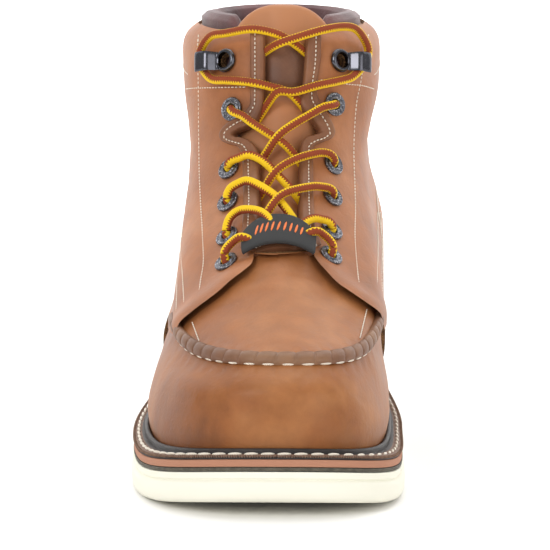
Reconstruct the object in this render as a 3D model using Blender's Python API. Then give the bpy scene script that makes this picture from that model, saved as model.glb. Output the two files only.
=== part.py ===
"""A right work boot: moc-toe leather upper with a six-inch laced shaft on a cream wedge sole.

Metres, +Z up. The toe points to -Y, the lateral side is -X and the medial side is +X.
The origin is at the floor, under the middle of the sole.
"""
import math
from collections import namedtuple

import bmesh
import bpy
from mathutils import Matrix, Vector

# Sole
SOLE_LENGTH = 0.308
SOLE_WIDTH = 0.1195
TOE_SPRING = 0.0075
SPRING_LENGTH = 0.064
HEEL_BEVEL = 0.0020
HEEL_BEVEL_LENGTH = 0.022
OUTSOLE_TOE = 0.0128
OUTSOLE_HEEL = 0.0330
LAYER_THICKNESS = 0.0015
MIDSOLE_THICKNESS = 0.0031
MIDSOLE_SETBACK = 0.0010
UPPER_BAND_HEIGHT = 0.0034
BAND_STEP = 0.0011
TREAD_DEPTH = 0.0016
TREAD_GROOVE = 0.0034
TREAD_PITCH = 0.0185
TREAD_MARGIN = 0.0075

# Welt
WELT_SETBACK = 0.0012
WELT_INNER_HEIGHT = 0.0026
WELT_EDGE_HEIGHT = 0.0011
BEAD_WIDTH = 0.0026
BEAD_HEIGHT = 0.0047

# Upper
UPPER_LENGTH = 0.292
UPPER_WIDTH = 0.106
SHAFT_HEIGHT = 0.161
UPPER_WALL = 0.0022
OVERLAY_THICKNESS = 0.0019
BINDING_THICKNESS = 0.0011
BINDING_WIDTH = 0.0052
LINING_THICKNESS = 0.0048
INSOLE_THICKNESS = 0.0035
SEAM_HALF_WIDTH = 0.0030
SEAM_HEIGHT = 0.0030

# Throat and tongue
THROAT_HALF_WIDTH = 0.0097
TONGUE_HALF_WIDTH = 0.0255
TONGUE_THICKNESS = 0.0050
TONGUE_RISE = 0.0150
TONGUE_CROWN = 0.0016
TONGUE_GAP = 0.0011

# Lacing hardware
EYELET_OUTER = 0.0110
EYELET_HOLE = 0.0046
EYELET_BARREL = 0.0060
EYELET_HEIGHT = 0.0013
EYELET_SETBACK = 0.0120
EYELET_LIFT = 0.0010
EYELET_SIDES = 8
HOOK_LENGTH = 0.0195
HOOK_WIDTH = 0.0100
HOOK_PLATE = 0.0011
HOOK_STANDOFF = 0.0050
HOOK_SETBACK = 0.0148
LACE_DIAMETER = 0.0038
KEEPER_WIDTH = 0.0262
KEEPER_HEIGHT = 0.0085
KEEPER_ARCH = 0.0035
KEEPER_THICKNESS = 0.0028
KEEPER_LIFT = 0.0009

CLEARANCE = 0.0003
COLUMNS = 36
EPSILON = 0.0008

# Heights of the outsole's top from toe to heel, as shares of the rise from toe to heel
WEDGE_SHARES = (0.0, 0.03, 0.16, 0.42, 0.68, 0.88, 1.0)

# Half-widths of the sole at toe, ball, waist and heel, as shares of its full width
SoleWidths = namedtuple("SoleWidths", "toe ball waist heel nose tail nose_blunt tail_blunt")
SOLE_WIDTHS = SoleWidths(toe=0.487, ball=0.500, waist=0.405, heel=0.378, nose=0.31, tail=0.25,
                         nose_blunt=3.0, tail_blunt=2.4)

# Where the middle line runs at toe, ball, waist and heel, towards the medial side, as shares of the sole's width
MIDDLE_LINE = (0.050, -0.002, 0.006, 0.020)

# Sections of the upper from the welt to the collar. front and back are shares of UPPER_LENGTH.
# lean (towards the medial side), apex (the same, at the front only) and the four half-widths are
# shares of UPPER_WIDTH. nose and tail are the rounded shares of the section's length, blunt is the
# power of their rounding, and the four rises above the sole are shares of SHAFT_HEIGHT.
Ring = namedtuple("Ring", "front back lean apex toe ball waist heel nose tail blunt front_up fore_up rear_up back_up")
RINGS = (
    Ring(-0.500, 0.493, 0.000, 0.000, 0.455, 0.480, 0.365, 0.355, 0.32, 0.25, 2.60, 0.000, 0.000, 0.000, 0.000),
    Ring(-0.504, 0.500, 0.004, 0.000, 0.472, 0.502, 0.395, 0.370, 0.32, 0.26, 2.60, 0.075, 0.075, 0.076, 0.078),
    Ring(-0.498, 0.508, 0.010, 0.000, 0.452, 0.472, 0.412, 0.373, 0.32, 0.27, 2.55, 0.170, 0.172, 0.178, 0.185),
    Ring(-0.452, 0.510, 0.030, 0.010, 0.398, 0.420, 0.416, 0.368, 0.34, 0.28, 2.40, 0.258, 0.298, 0.318, 0.325),
    Ring(-0.390, 0.507, 0.030, 0.015, 0.340, 0.408, 0.412, 0.360, 0.38, 0.31, 2.10, 0.312, 0.362, 0.405, 0.420),
    Ring(-0.288, 0.500, 0.017, 0.022, 0.265, 0.388, 0.394, 0.352, 0.42, 0.34, 1.85, 0.387, 0.440, 0.495, 0.520),
    Ring(-0.177, 0.490, 0.007, 0.034, 0.240, 0.364, 0.374, 0.345, 0.46, 0.38, 1.80, 0.482, 0.528, 0.578, 0.615),
    Ring(-0.091, 0.481, 0.004, 0.034, 0.265, 0.358, 0.368, 0.345, 0.48, 0.42, 1.85, 0.562, 0.608, 0.658, 0.695),
    Ring(-0.012, 0.476, 0.006, 0.030, 0.305, 0.376, 0.384, 0.358, 0.50, 0.46, 2.05, 0.650, 0.690, 0.733, 0.765),
    Ring(0.040, 0.474, 0.010, 0.032, 0.355, 0.403, 0.408, 0.385, 0.50, 0.50, 2.25, 0.770, 0.790, 0.815, 0.830),
    Ring(0.068, 0.478, 0.008, 0.030, 0.385, 0.410, 0.414, 0.402, 0.50, 0.50, 2.30, 0.895, 0.895, 0.895, 0.895),
    Ring(0.084, 0.476, 0.006, 0.030, 0.365, 0.388, 0.392, 0.385, 0.50, 0.50, 2.30, 1.000, 0.985, 0.965, 0.955),
)
SEAM_RING = 3
THROAT_RING = 6
COLLAR_RING = len(RINGS) - 1
UPPER_ROWS = (0, 0.5, 1.2, 2, 3, 3.5, 4.2, 5, 6, 7, 8, 9, 10, 11)
OVERLAY_ROWS = UPPER_ROWS[1:]

# The throat's edge seen from the front, from the collar down to the vamp: half-widths as
# multiples of THROAT_HALF_WIDTH and heights as shares of SHAFT_HEIGHT above the sole's ball
Edge = namedtuple("Edge", "out height")
THROAT_EDGE = (
    Edge(0.92, 1.300),
    Edge(0.94, 0.945),
    Edge(1.00, 0.882),
    Edge(1.30, 0.848),
    Edge(1.85, 0.818),
    Edge(2.05, 0.802),
    Edge(1.62, 0.785),
    Edge(1.10, 0.762),
    Edge(1.00, 0.715),
    Edge(1.02, 0.620),
    Edge(1.14, 0.550),
    Edge(1.26, 0.500),
)

# The quarter's front edge below the throat, and the counter's front edge, seen from the side:
# lengths as shares of UPPER_LENGTH from its middle, heights as shares of SHAFT_HEIGHT
Side = namedtuple("Side", "along height")
QUARTER_FRONT = (
    Side(-0.178, 0.590),
    Side(-0.188, 0.450),
    Side(-0.184, 0.370),
    Side(-0.168, 0.305),
    Side(-0.140, 0.230),
    Side(-0.100, 0.140),
    Side(-0.055, 0.060),
    Side(-0.030, -0.100),
)
COUNTER_FRONT = (
    Side(0.085, -0.100),
    Side(0.080, 0.150),
    Side(0.074, 0.330),
    Side(0.092, 0.450),
    Side(0.150, 0.540),
    Side(0.250, 0.610),
    Side(0.345, 0.690),
    Side(0.400, 0.800),
    Side(0.415, 1.200),
)

# Heights of the eyelets, from the vamp up, and of the hook, as shares of SHAFT_HEIGHT above the
# sole's ball; the medial ones sit a little higher
EYELET_HEIGHTS = (0.467, 0.526, 0.610, 0.693, 0.857)
MEDIAL_RISE = 0.014
HOOK_HEIGHT = 0.991
KEEPER_BASE = 0.480

# The laces seen from the front, each cord from its eyelet or hook to where it is tucked behind
# the other facing. out is how far from the throat's middle, as a multiple of the eyelets' own
# distance and towards the cord's own side, stage is the height counted in eyelets (the hooks are
# stage 5), and off is how far the cord's middle lies off the leather, in cord diameters. The
# medial cord of each pair lies over the lateral one.
LacePoint = namedtuple("LacePoint", "out stage off")
LATERAL_CORDS = {
    "keeper": (LacePoint(0.73, 1.62, 1.00), LacePoint(0.57, 1.68, 1.10), LacePoint(0.30, 1.62, 1.20)),
    "first": (LacePoint(0.73, 2.45, 1.00), LacePoint(0.55, 2.55, 1.10), LacePoint(0.25, 2.35, 0.75),
              LacePoint(0.02, 2.12, 0.30), LacePoint(-0.32, 1.60, -0.40)),
    "second": (LacePoint(0.73, 3.16, 0.95), LacePoint(0.55, 3.22, 1.10), LacePoint(0.30, 3.13, 0.75),
               LacePoint(0.04, 2.85, 0.30), LacePoint(-0.32, 2.40, -0.40)),
    "third": (LacePoint(0.73, 3.86, 0.95), LacePoint(0.55, 3.74, 1.10), LacePoint(0.24, 3.58, 0.70),
              LacePoint(-0.06, 3.45, 0.30), LacePoint(-0.32, 3.28, -0.40)),
    "fourth": (LacePoint(1.32, 4.58, 0.85), LacePoint(1.05, 4.57, 0.85), LacePoint(0.55, 4.51, 1.28),
               LacePoint(0.15, 4.42, 0.62), LacePoint(-0.11, 4.35, 0.30), LacePoint(-0.32, 4.19, -0.40)),
    "top": (LacePoint(1.32, 5.47, 0.85), LacePoint(1.05, 5.54, 0.80), LacePoint(0.55, 5.64, 1.10),
            LacePoint(0.15, 5.58, 0.50), LacePoint(-0.10, 5.46, 0.30), LacePoint(-0.32, 5.33, -0.40)),
}
MEDIAL_CORDS = {
    "keeper": (LacePoint(0.73, 1.24, 1.00), LacePoint(0.60, 1.26, 1.10), LacePoint(0.43, 1.35, 1.35)),
    "first": (LacePoint(0.73, 2.18, 1.00), LacePoint(0.51, 2.16, 1.15), LacePoint(0.08, 1.95, 1.15),
              LacePoint(-0.14, 1.66, 0.60), LacePoint(-0.32, 1.38, -0.40)),
    "second": (LacePoint(0.73, 3.20, 1.00), LacePoint(0.51, 3.14, 1.15), LacePoint(0.22, 2.98, 1.15),
               LacePoint(-0.06, 2.70, 0.95), LacePoint(-0.32, 2.36, -0.40)),
    "third": (LacePoint(0.73, 3.93, 1.00), LacePoint(0.50, 3.80, 1.15), LacePoint(0.20, 3.62, 1.15),
              LacePoint(-0.06, 3.45, 1.05), LacePoint(-0.32, 3.24, -0.40)),
    "fourth": (LacePoint(1.28, 4.54, 0.85), LacePoint(1.10, 4.47, 0.80), LacePoint(0.60, 4.34, 1.10),
               LacePoint(0.20, 4.20, 1.15), LacePoint(-0.08, 4.22, 1.10), LacePoint(-0.32, 4.02, -0.40)),
    "top": (LacePoint(1.32, 5.50, 0.85), LacePoint(1.10, 5.57, 0.80), LacePoint(0.70, 5.51, 1.10),
            LacePoint(0.25, 5.36, 1.15), LacePoint(-0.08, 5.24, 1.10), LacePoint(-0.32, 5.14, -0.40)),
}
KEEPER_BAR = (LacePoint(0.76, 0.28, 0.95), LacePoint(0.72, 0.62, 1.10))


def smooth_value(values, position):
    """A smooth value through evenly spaced ones, which never swings past them."""
    last = len(values) - 1
    index = min(max(int(math.floor(position)), 0), last - 1)
    share = position - index
    steps = [values[i + 1] - values[i] for i in range(last)]

    def slope(knot):
        if knot == 0:
            return steps[0]
        if knot == last:
            return steps[-1]
        before, after = steps[knot - 1], steps[knot]
        if before * after <= 0.0:
            return 0.0
        return 2.0 * before * after / (before + after)

    start, end = slope(index), slope(index + 1)
    if share < 0.0:
        return values[0] + start * share
    if share > 1.0:
        return values[last] + end * (share - 1.0)
    square, cube = share * share, share ** 3
    return ((2 * cube - 3 * square + 1) * values[index] + (cube - 2 * square + share) * start
            + (3 * square - 2 * cube) * values[index + 1] + (cube - square) * end)


def curve_through(points, steps):
    """Points of a smooth curve through a short list of points."""
    columns = [[point[axis] for point in points] for axis in range(2)]
    count = (len(points) - 1) * steps
    return [tuple(smooth_value(column, i / steps) for column in columns) for i in range(count + 1)]


def rounded(share, length, blunt):
    """How far a blunt end has opened at a share of the way along it."""
    if share >= length:
        return 1.0
    left = 1.0 - max(share, 0.0) / length
    return max(1.0 - left ** blunt, 0.0) ** (1.0 / blunt)


def along(y, length):
    """The share of a length, from toe to heel, where y lies."""
    return y / length + 0.5


def middle_line(y):
    share = min(max(along(y, SOLE_LENGTH), 0.0), 1.0)
    return SOLE_WIDTH * smooth_value(MIDDLE_LINE, 3.0 * share)


def sole_bottom(y):
    toe_reach = (-SOLE_LENGTH / 2 + SPRING_LENGTH - y) / SPRING_LENGTH
    heel_reach = (y - SOLE_LENGTH / 2 + HEEL_BEVEL_LENGTH) / HEEL_BEVEL_LENGTH
    return TOE_SPRING * max(toe_reach, 0.0) ** 2 + HEEL_BEVEL * max(heel_reach, 0.0) ** 2


def outsole_top(y):
    toe_reach = (-SOLE_LENGTH / 2 + SPRING_LENGTH - y) / SPRING_LENGTH
    share = min(max(along(y, SOLE_LENGTH), 0.0), 1.0) * (len(WEDGE_SHARES) - 1)
    wedge = (OUTSOLE_HEEL - OUTSOLE_TOE) * smooth_value(WEDGE_SHARES, share)
    return OUTSOLE_TOE + wedge + TOE_SPRING * max(toe_reach, 0.0) ** 2


def layer_top(y):
    return outsole_top(y) + CLEARANCE + LAYER_THICKNESS


def midsole_top(y):
    return layer_top(y) + CLEARANCE + MIDSOLE_THICKNESS


def sole_top(y):
    """The height at which upper, welt and insole stand."""
    return midsole_top(y) + CLEARANCE


def end_share(around):
    return (1.0 - math.cos(2.0 * math.pi * around)) / 2.0


def side_of(around):
    return -1.0 if around % 1.0 < 0.5 else 1.0


def sole_rim(around):
    share = end_share(around)
    y = SOLE_LENGTH * (share - 0.5)
    half = SOLE_WIDTH * smooth_value(SOLE_WIDTHS[:4], 3.0 * share)
    half *= rounded(share, SOLE_WIDTHS.nose, SOLE_WIDTHS.nose_blunt)
    half *= rounded(1.0 - share, SOLE_WIDTHS.tail, SOLE_WIDTHS.tail_blunt)
    return Vector((middle_line(y) + side_of(around) * half, y, 0.0))


def rim_normal(around):
    before, after = sole_rim(around - EPSILON), sole_rim(around + EPSILON)
    tangent = (after - before).normalized()
    return Vector((tangent.y, -tangent.x, 0.0)) * -1.0


def sole_point(around, inset):
    return sole_rim(around) - rim_normal(around) * inset


def ring_at(up):
    return Ring(*(smooth_value(column, up) for column in zip(*RINGS)))


def surface_point(around, up):
    """A point of the upper's outer face: around from toe to heel and back, up counted in rings."""
    ring = ring_at(up)
    share = end_share(around)
    y = UPPER_LENGTH * (ring.front + (ring.back - ring.front) * share)
    widths = (ring.toe, ring.ball, ring.waist, ring.heel)
    half = UPPER_WIDTH * smooth_value(widths, 3.0 * share)
    half *= rounded(share, ring.nose, ring.blunt) * rounded(1.0 - share, ring.tail, ring.blunt)
    rises = (ring.front_up, ring.fore_up, ring.rear_up, ring.back_up)
    rise = SHAFT_HEIGHT * smooth_value(rises, 3.0 * share)
    middle = middle_line(y) + UPPER_WIDTH * (ring.lean + ring.apex * (1.0 - share) ** 3)
    return Vector((middle + side_of(around) * half, y, sole_top(y) + rise))


def upper_at(around, up, out):
    """The upper's own function: its outer face moved out by a distance along its normal."""
    across = surface_point(around + EPSILON, up) - surface_point(around - EPSILON, up)
    upward = surface_point(around, up + 0.05) - surface_point(around, up - 0.05)
    normal = upward.cross(across).normalized()
    return surface_point(around, up) + normal * out


def material(name, colour, roughness, metallic=0.0):
    made = bpy.data.materials.new(name)
    made.use_nodes = True
    shader = made.node_tree.nodes["Principled BSDF"]
    shader.inputs["Base Color"].default_value = (*colour, 1.0)
    shader.inputs["Roughness"].default_value = roughness
    shader.inputs["Metallic"].default_value = metallic
    return made


def collection(name):
    made = bpy.data.collections.new(name)
    bpy.context.scene.collection.children.link(made)
    return made


def place(name, mesh, finish, group):
    mesh.shade_smooth()
    mesh.set_sharp_from_angle(angle=math.radians(35))
    obj = bpy.data.objects.new(name, mesh)
    group.objects.link(obj)
    if finish is not None:
        mesh.materials.append(finish)
    return obj


def mesh_from(bm, name):
    bmesh.ops.recalc_face_normals(bm, faces=bm.faces)
    mesh = bpy.data.meshes.new(name)
    bm.to_mesh(mesh)
    bm.free()
    return mesh


def grid(bm, rows, closed, looped=False):
    """Triangles between rows of points, all split the same way, so that nested walls keep their gap."""
    lines = [[bm.verts.new(point) for point in row] for row in rows]
    count = len(lines[0])
    following = lines[1:] + lines[:1] if looped else lines[1:]
    for lower, upper in zip(lines, following):
        for i in range(count if closed else count - 1):
            j = (i + 1) % count
            bm.faces.new((lower[i], lower[j], upper[j]))
            bm.faces.new((lower[i], upper[j], upper[i]))
    return lines


def wall(name, finish, group, ups, arounds, outer, inner, closed=False):
    """A solid between two offsets of the upper's face; outer and inner give them at a place."""
    bm = bmesh.new()
    outside = grid(bm, [[upper_at(a, u, outer(a, u)) for a in arounds] for u in ups], closed)
    inside = grid(bm, [[upper_at(a, u, inner(a, u)) for a in arounds] for u in ups], closed)
    count = len(arounds)
    for outer_line, inner_line in ((outside[0], inside[0]), (outside[-1], inside[-1])):
        for i in range(count if closed else count - 1):
            j = (i + 1) % count
            bm.faces.new((outer_line[i], outer_line[j], inner_line[j], inner_line[i]))
    if not closed:
        for end in (0, -1):
            for k in range(len(ups) - 1):
                bm.faces.new((outside[k][end], outside[k + 1][end], inside[k + 1][end], inside[k][end]))
    return place(name, mesh_from(bm, name), finish, group)


def steady(distance):
    """An offset that is the same everywhere."""
    return lambda around, up: distance


def slab(name, finish, group, levels, count=44):
    """A sole layer: each level gives an inset from the sole's edge and a height over y."""
    bm = bmesh.new()
    arounds = [i / count for i in range(count)]
    rows = []
    for inset, height in levels:
        points = [sole_point(around, inset) for around in arounds]
        rows.append([Vector((point.x, point.y, height(point.y))) for point in points])
    lines = grid(bm, rows, closed=True)
    for line in (lines[0], lines[-1]):
        cap(bm, line)
    return place(name, mesh_from(bm, name), finish, group)


def cap(bm, line):
    """Closes a loop with strips across it, from toe to heel."""
    count = len(line)
    half = count // 2
    bm.faces.new((line[0], line[1], line[count - 1]))
    for i in range(1, half - 1):
        bm.faces.new((line[i], line[i + 1], line[count - i - 1], line[count - i]))
    bm.faces.new((line[half - 1], line[half], line[half + 1]))


def prism(name, outline, axis, low, high, group):
    """A cutter: an outline seen from the side (axis 0) or the front (axis 1), made thick."""
    bm = bmesh.new()
    loops = []
    for depth in (low, high):
        points = [(depth, a, b) if axis == 0 else (a, depth, b) for a, b in outline]
        loops.append([bm.verts.new(point) for point in points])
    bm.faces.new(loops[0])
    bm.faces.new(loops[1])
    count = len(outline)
    for i in range(count):
        j = (i + 1) % count
        bm.faces.new((loops[0][i], loops[0][j], loops[1][j], loops[1][i]))
    obj = place(name, mesh_from(bm, name), None, group)
    obj.hide_render = True
    obj.display_type = "WIRE"
    return obj


def boolean(target, cutter, operation):
    step = target.modifiers.new(operation.lower(), "BOOLEAN")
    step.operation = operation
    step.object = cutter


def height_at(share):
    """A height on the shaft, counted above the sole's ball."""
    return OUTSOLE_TOE + share * SHAFT_HEIGHT + LAYER_THICKNESS + MIDSOLE_THICKNESS


def throat_middle(height):
    """Where the front of the instep and the shaft lies at a height above the floor."""
    fronts = [surface_point(0.0, up) for up in range(THROAT_RING, COLLAR_RING + 1)]
    for lower, upper in zip(fronts, fronts[1:]):
        if height < upper.z or upper is fronts[-1]:
            share = min(max((height - lower.z) / (upper.z - lower.z), 0.0), 1.0)
            return lower.x + (upper.x - lower.x) * share
    return fronts[-1].x


def throat_line(edges, side, steps, spread=0.0):
    points = [(edge.out * THROAT_HALF_WIDTH + spread, height_at(edge.height)) for edge in edges]
    return [(throat_middle(height) + side * out, height) for out, height in curve_through(points, steps)]


def throat_outline(edges, spread=0.0, steps=3):
    lateral = throat_line(edges, -1.0, steps, spread)
    medial = throat_line(edges, 1.0, steps, spread)
    return lateral + medial[::-1]


def side_line(edges, shift=0.0, steps=3):
    points = [(edge.along * UPPER_LENGTH + shift, height_at(edge.height)) for edge in edges]
    return curve_through(points, steps)


def make_sole(finishes, parts, cutters):
    band = UPPER_BAND_HEIGHT

    def below_top(drop):
        return lambda y: outsole_top(y) - drop

    outsole = slab("outsole", finishes["cream_rubber"], parts, (
        (0.0022, sole_bottom),
        (0.0004, lambda y: sole_bottom(y) + 0.0016),
        (0.0, lambda y: sole_bottom(y) + 0.0040),
        (0.0001, below_top(band + BAND_STEP)),
        (BAND_STEP, below_top(band)),
        (BAND_STEP * 1.3, below_top(band * 0.5)),
        (BAND_STEP * 0.8, outsole_top),
    ))
    setback = MIDSOLE_SETBACK
    slab("sole_layer", finishes["dark_rubber"], parts, (
        (setback, lambda y: outsole_top(y) + CLEARANCE),
        (setback, layer_top),
    ))
    slab("midsole", finishes["rust_midsole"], parts, (
        (setback * 1.1, lambda y: layer_top(y) + CLEARANCE),
        (setback * 0.9, midsole_top),
    ))
    cut_tread(outsole, cutters)


def cut_tread(outsole, cutters):
    """Straight grooves across the forefoot and the heel, open at neither side."""
    bm = bmesh.new()
    first = -SOLE_LENGTH / 2 + SPRING_LENGTH + TREAD_PITCH * 0.25
    for start, count in ((first, 3), (SOLE_LENGTH * 0.235, 3)):
        for i in range(count):
            y = start + i * TREAD_PITCH
            share = along(y, SOLE_LENGTH)
            half = SOLE_WIDTH * smooth_value(SOLE_WIDTHS[:4], 3.0 * share)
            half = half * rounded(1.0 - share, SOLE_WIDTHS.tail, SOLE_WIDTHS.tail_blunt) - TREAD_MARGIN
            size = Matrix.Diagonal((half * 2.0, TREAD_GROOVE, TREAD_DEPTH * 2.0, 1.0))
            bmesh.ops.create_cube(bm, size=1.0, matrix=Matrix.Translation((middle_line(y), y, 0.0)) @ size)
    cutter = place("tread_grooves", mesh_from(bm, "tread_grooves"), None, cutters)
    cutter.hide_render = True
    cutter.display_type = "WIRE"
    boolean(outsole, cutter, "DIFFERENCE")


def make_welt(finish, parts):
    """A strip round the upper's foot: a raised bead against the leather, then a sloping shelf."""
    arounds = [i / COLUMNS for i in range(COLUMNS)]
    bead_up = BEAD_HEIGHT * 0.9 / (RINGS[1].front_up * SHAFT_HEIGHT)
    columns = []
    for around in arounds:
        foot = upper_at(around, 0.0, CLEARANCE)
        foot.z = sole_top(foot.y)
        shoulder = upper_at(around, bead_up, CLEARANCE)
        rim = sole_point(around, WELT_SETBACK)
        outward = (rim - foot) * Vector((1.0, 1.0, 0.0))
        width = outward.length
        outward = outward.normalized()
        column = [foot, shoulder]
        profile = (
            (BEAD_WIDTH * 0.45, BEAD_HEIGHT),
            (BEAD_WIDTH * 0.95, BEAD_HEIGHT * 0.80),
            (BEAD_WIDTH * 1.15, WELT_INNER_HEIGHT),
            (width, WELT_EDGE_HEIGHT),
            (width, 0.0),
        )
        for reach, height in profile:
            start = shoulder if reach < BEAD_WIDTH else foot
            point = start + outward * reach
            point.z = sole_top(point.y) + height
            column.append(point)
        columns.append(column)
    bm = bmesh.new()
    rows = [[column[k] for column in columns] for k in range(len(columns[0]))]
    grid(bm, rows, closed=True, looped=True)
    return place("welt", mesh_from(bm, "welt"), finish, parts)


def make_insole(finish, parts):
    bm = bmesh.new()
    count = COLUMNS
    rows = []
    for height in (0.0, INSOLE_THICKNESS):
        row = []
        for i in range(count):
            point = upper_at(i / count, 0.0, -UPPER_WALL - CLEARANCE)
            row.append(Vector((point.x, point.y, sole_top(point.y) + height)))
        rows.append(row)
    lines = grid(bm, rows, closed=True)
    for line in lines:
        cap(bm, line)
    return place("insole", mesh_from(bm, "insole"), finish, parts)


def make_upper(finish, parts, throat):
    arounds = [i / COLUMNS for i in range(COLUMNS)]
    upper = wall("upper", finish, parts, UPPER_ROWS, arounds, steady(0.0), steady(-UPPER_WALL), closed=True)
    boolean(upper, throat, "DIFFERENCE")
    return upper


def make_moc_seam(finish, parts, cutters):
    """The puckered roll where the plug is sewn to the toe wall, ending at the quarters."""
    reach = round(COLUMNS * 0.2)
    arounds = [i / COLUMNS for i in range(-reach, reach + 1)]
    spread = SEAM_HALF_WIDTH / (0.115 * SHAFT_HEIGHT)
    ups = [SEAM_RING + spread * k for k in (-1.0, -0.5, 0.0, 0.6, 1.2)]
    domes = dict(zip(ups, (0.15, 0.85, 1.0, 0.75, 0.12)))

    def outer(around, up):
        return CLEARANCE + SEAM_HEIGHT * domes[up]

    seam = wall("moc_seam", finish, parts, ups, arounds, outer, steady(CLEARANCE))
    boolean(seam, prism("seam_area", ahead_of_quarters(-CLEARANCE * 2.0), 0, -SOLE_WIDTH, SOLE_WIDTH, cutters),
            "INTERSECT")


def ahead_of_quarters(shift=0.0):
    """The side outline of all that lies ahead of the quarters' front edges."""
    front = side_line(QUARTER_FRONT, shift)
    return [(-UPPER_LENGTH, -0.02), (-UPPER_LENGTH, front[0][1])] + front


def make_overlays(finish, parts, cutters, throat):
    """Two quarters and the counter, cut from walls over the upper."""
    low = CLEARANCE
    high = CLEARANCE + OVERLAY_THICKNESS
    far = SOLE_WIDTH
    floor = -0.02
    vamp_side = prism("vamp_side", ahead_of_quarters(), 0, -far, far, cutters)
    counter_line = side_line(COUNTER_FRONT)
    behind = counter_line + [(UPPER_LENGTH, counter_line[-1][1]), (UPPER_LENGTH, floor)]
    counter_area = prism("counter_area", behind, 0, -far, far, cutters)
    shifted = side_line(COUNTER_FRONT, shift=-CLEARANCE * 1.5)
    behind = shifted + [(UPPER_LENGTH, shifted[-1][1]), (UPPER_LENGTH, floor)]
    behind_quarter = prism("behind_quarter", behind, 0, -far, far, cutters)
    half = COLUMNS // 2
    quarters = []
    for name, first in (("quarter_lateral", 0), ("quarter_medial", half)):
        arounds = [(first + i) / COLUMNS for i in range(half + 1)]
        quarter = wall(name, finish, parts, OVERLAY_ROWS, arounds, steady(high), steady(low))
        for cutter in (throat, vamp_side, behind_quarter):
            boolean(quarter, cutter, "DIFFERENCE")
        quarters.append(quarter)
    arounds = [i / COLUMNS for i in range(COLUMNS // 4, COLUMNS * 3 // 4 + 1)]
    counter = wall("counter", finish, parts, OVERLAY_ROWS, arounds, steady(high), steady(low))
    boolean(counter, counter_area, "INTERSECT")
    return quarters


def make_bindings(finish, parts, cutters):
    """Strips along both throat edges, over the quarters."""
    low = CLEARANCE * 2.0 + OVERLAY_THICKNESS
    high = low + BINDING_THICKNESS
    rows = [row for row in UPPER_ROWS if row >= 4]
    reach = COLUMNS // 4
    for name, side in (("binding_lateral", -1.0), ("binding_medial", 1.0)):
        edge = throat_line(THROAT_EDGE, side, 3)
        back = throat_line(THROAT_EDGE, side, 3, spread=BINDING_WIDTH)
        area = prism(name + "_area", edge + back[::-1], 1, -UPPER_LENGTH, 0.065, cutters)
        steps = [i / COLUMNS for i in range(reach + 1)]
        arounds = steps if side < 0 else [1.0 - step for step in steps]
        strip = wall(name, finish, parts, rows, arounds, steady(high), steady(low))
        boolean(strip, area, "INTERSECT")


def make_collar_lining(finish, parts, cutters):
    """The padded roll inside the collar, open at the front for the tongue."""
    pads = {COLLAR_RING - 2: 0.15, COLLAR_RING - 1: 1.0, COLLAR_RING: 1.0, COLLAR_RING + 0.12: 0.55}
    start = CLEARANCE + UPPER_WALL
    arounds = [i / COLUMNS for i in range(COLUMNS)]

    def inner(around, up):
        return -start - LINING_THICKNESS * pads[up]

    lining = wall("collar_lining", finish, parts, tuple(pads), arounds, steady(-start), inner, closed=True)
    top_z, low_z = height_at(1.4), height_at(0.3)
    middle = throat_middle(top_z)
    half = TONGUE_HALF_WIDTH + 0.0030
    outline = [(middle - half, low_z), (middle + half, low_z), (middle + half, top_z), (middle - half, top_z)]
    gap = prism("tongue_gap", outline, 1, -UPPER_LENGTH, 0.085, cutters)
    boolean(lining, gap, "DIFFERENCE")


def make_tongue(finish, parts):
    """A padded flap under the throat, sewn at the vamp and rising past the collar."""
    shares = (-1.0, -0.70, -0.35, -0.18, 0.0, 0.18, 0.35, 0.70, 1.0)
    heights = (0.0, 0.1, 0.2, 0.3, 0.4, 0.5, 0.6, 0.7, 0.8, 0.9, 0.97, 1.0)
    base_up = 5.7
    top_rise = TONGUE_RISE / (0.12 * SHAFT_HEIGHT)
    under = UPPER_WALL + TONGUE_GAP

    def spot(share, height, deep):
        top_up = COLLAR_RING + top_rise * (1.0 - 0.55 * share * share)
        up = base_up + (top_up - base_up) * height
        width = TONGUE_HALF_WIDTH * (0.80 + 0.20 * height)
        around = around_for(share * width, up)
        free = min(max((up - THROAT_RING) / 0.5, 0.0), 1.0)
        crown = TONGUE_CROWN * free * max(0.0, 1.0 - (share / 0.35) ** 2)
        rounding = 0.6 if height >= 0.99 else 1.0
        return upper_at(around, up, -under + crown - deep * TONGUE_THICKNESS * rounding)

    bm = bmesh.new()
    outside = grid(bm, [[spot(share, height, 0.0) for share in shares] for height in heights], False)
    inside = grid(bm, [[spot(share, height, 1.0) for share in shares] for height in heights], False)
    for outer_line, inner_line in ((outside[0], inside[0]), (outside[-1], inside[-1])):
        for i in range(len(shares) - 1):
            bm.faces.new((outer_line[i], outer_line[i + 1], inner_line[i + 1], inner_line[i]))
    for end in (0, -1):
        for k in range(len(heights) - 1):
            bm.faces.new((outside[k][end], outside[k + 1][end], inside[k + 1][end], inside[k][end]))
    return place("tongue", mesh_from(bm, "tongue"), finish, parts)


def around_for(reach, up):
    """The place round the front where the upper's face lies at a distance from its middle line."""
    side = -1.0 if reach < 0.0 else 1.0
    middle = surface_point(0.0, up).x
    low, high = 0.0, 0.24
    for _ in range(30):
        guess = (low + high) / 2.0
        point = surface_point(guess if side < 0.0 else 1.0 - guess, up)
        if abs(point.x - middle) < abs(reach):
            low = guess
        else:
            high = guess
    return low if side < 0.0 else 1.0 - low


def facing_place(reach, height):
    """The place on the upper at a distance across from its middle line and a height above the floor."""
    low, high = float(THROAT_RING) - 1.5, COLLAR_RING + 0.3
    for _ in range(24):
        up = (low + high) / 2.0
        if surface_point(around_for(reach, up), up).z < height:
            low = up
        else:
            high = up
    return around_for(reach, up), up


def normal_at(around, up):
    return (upper_at(around, up, 0.001) - surface_point(around, up)).normalized()


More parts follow.
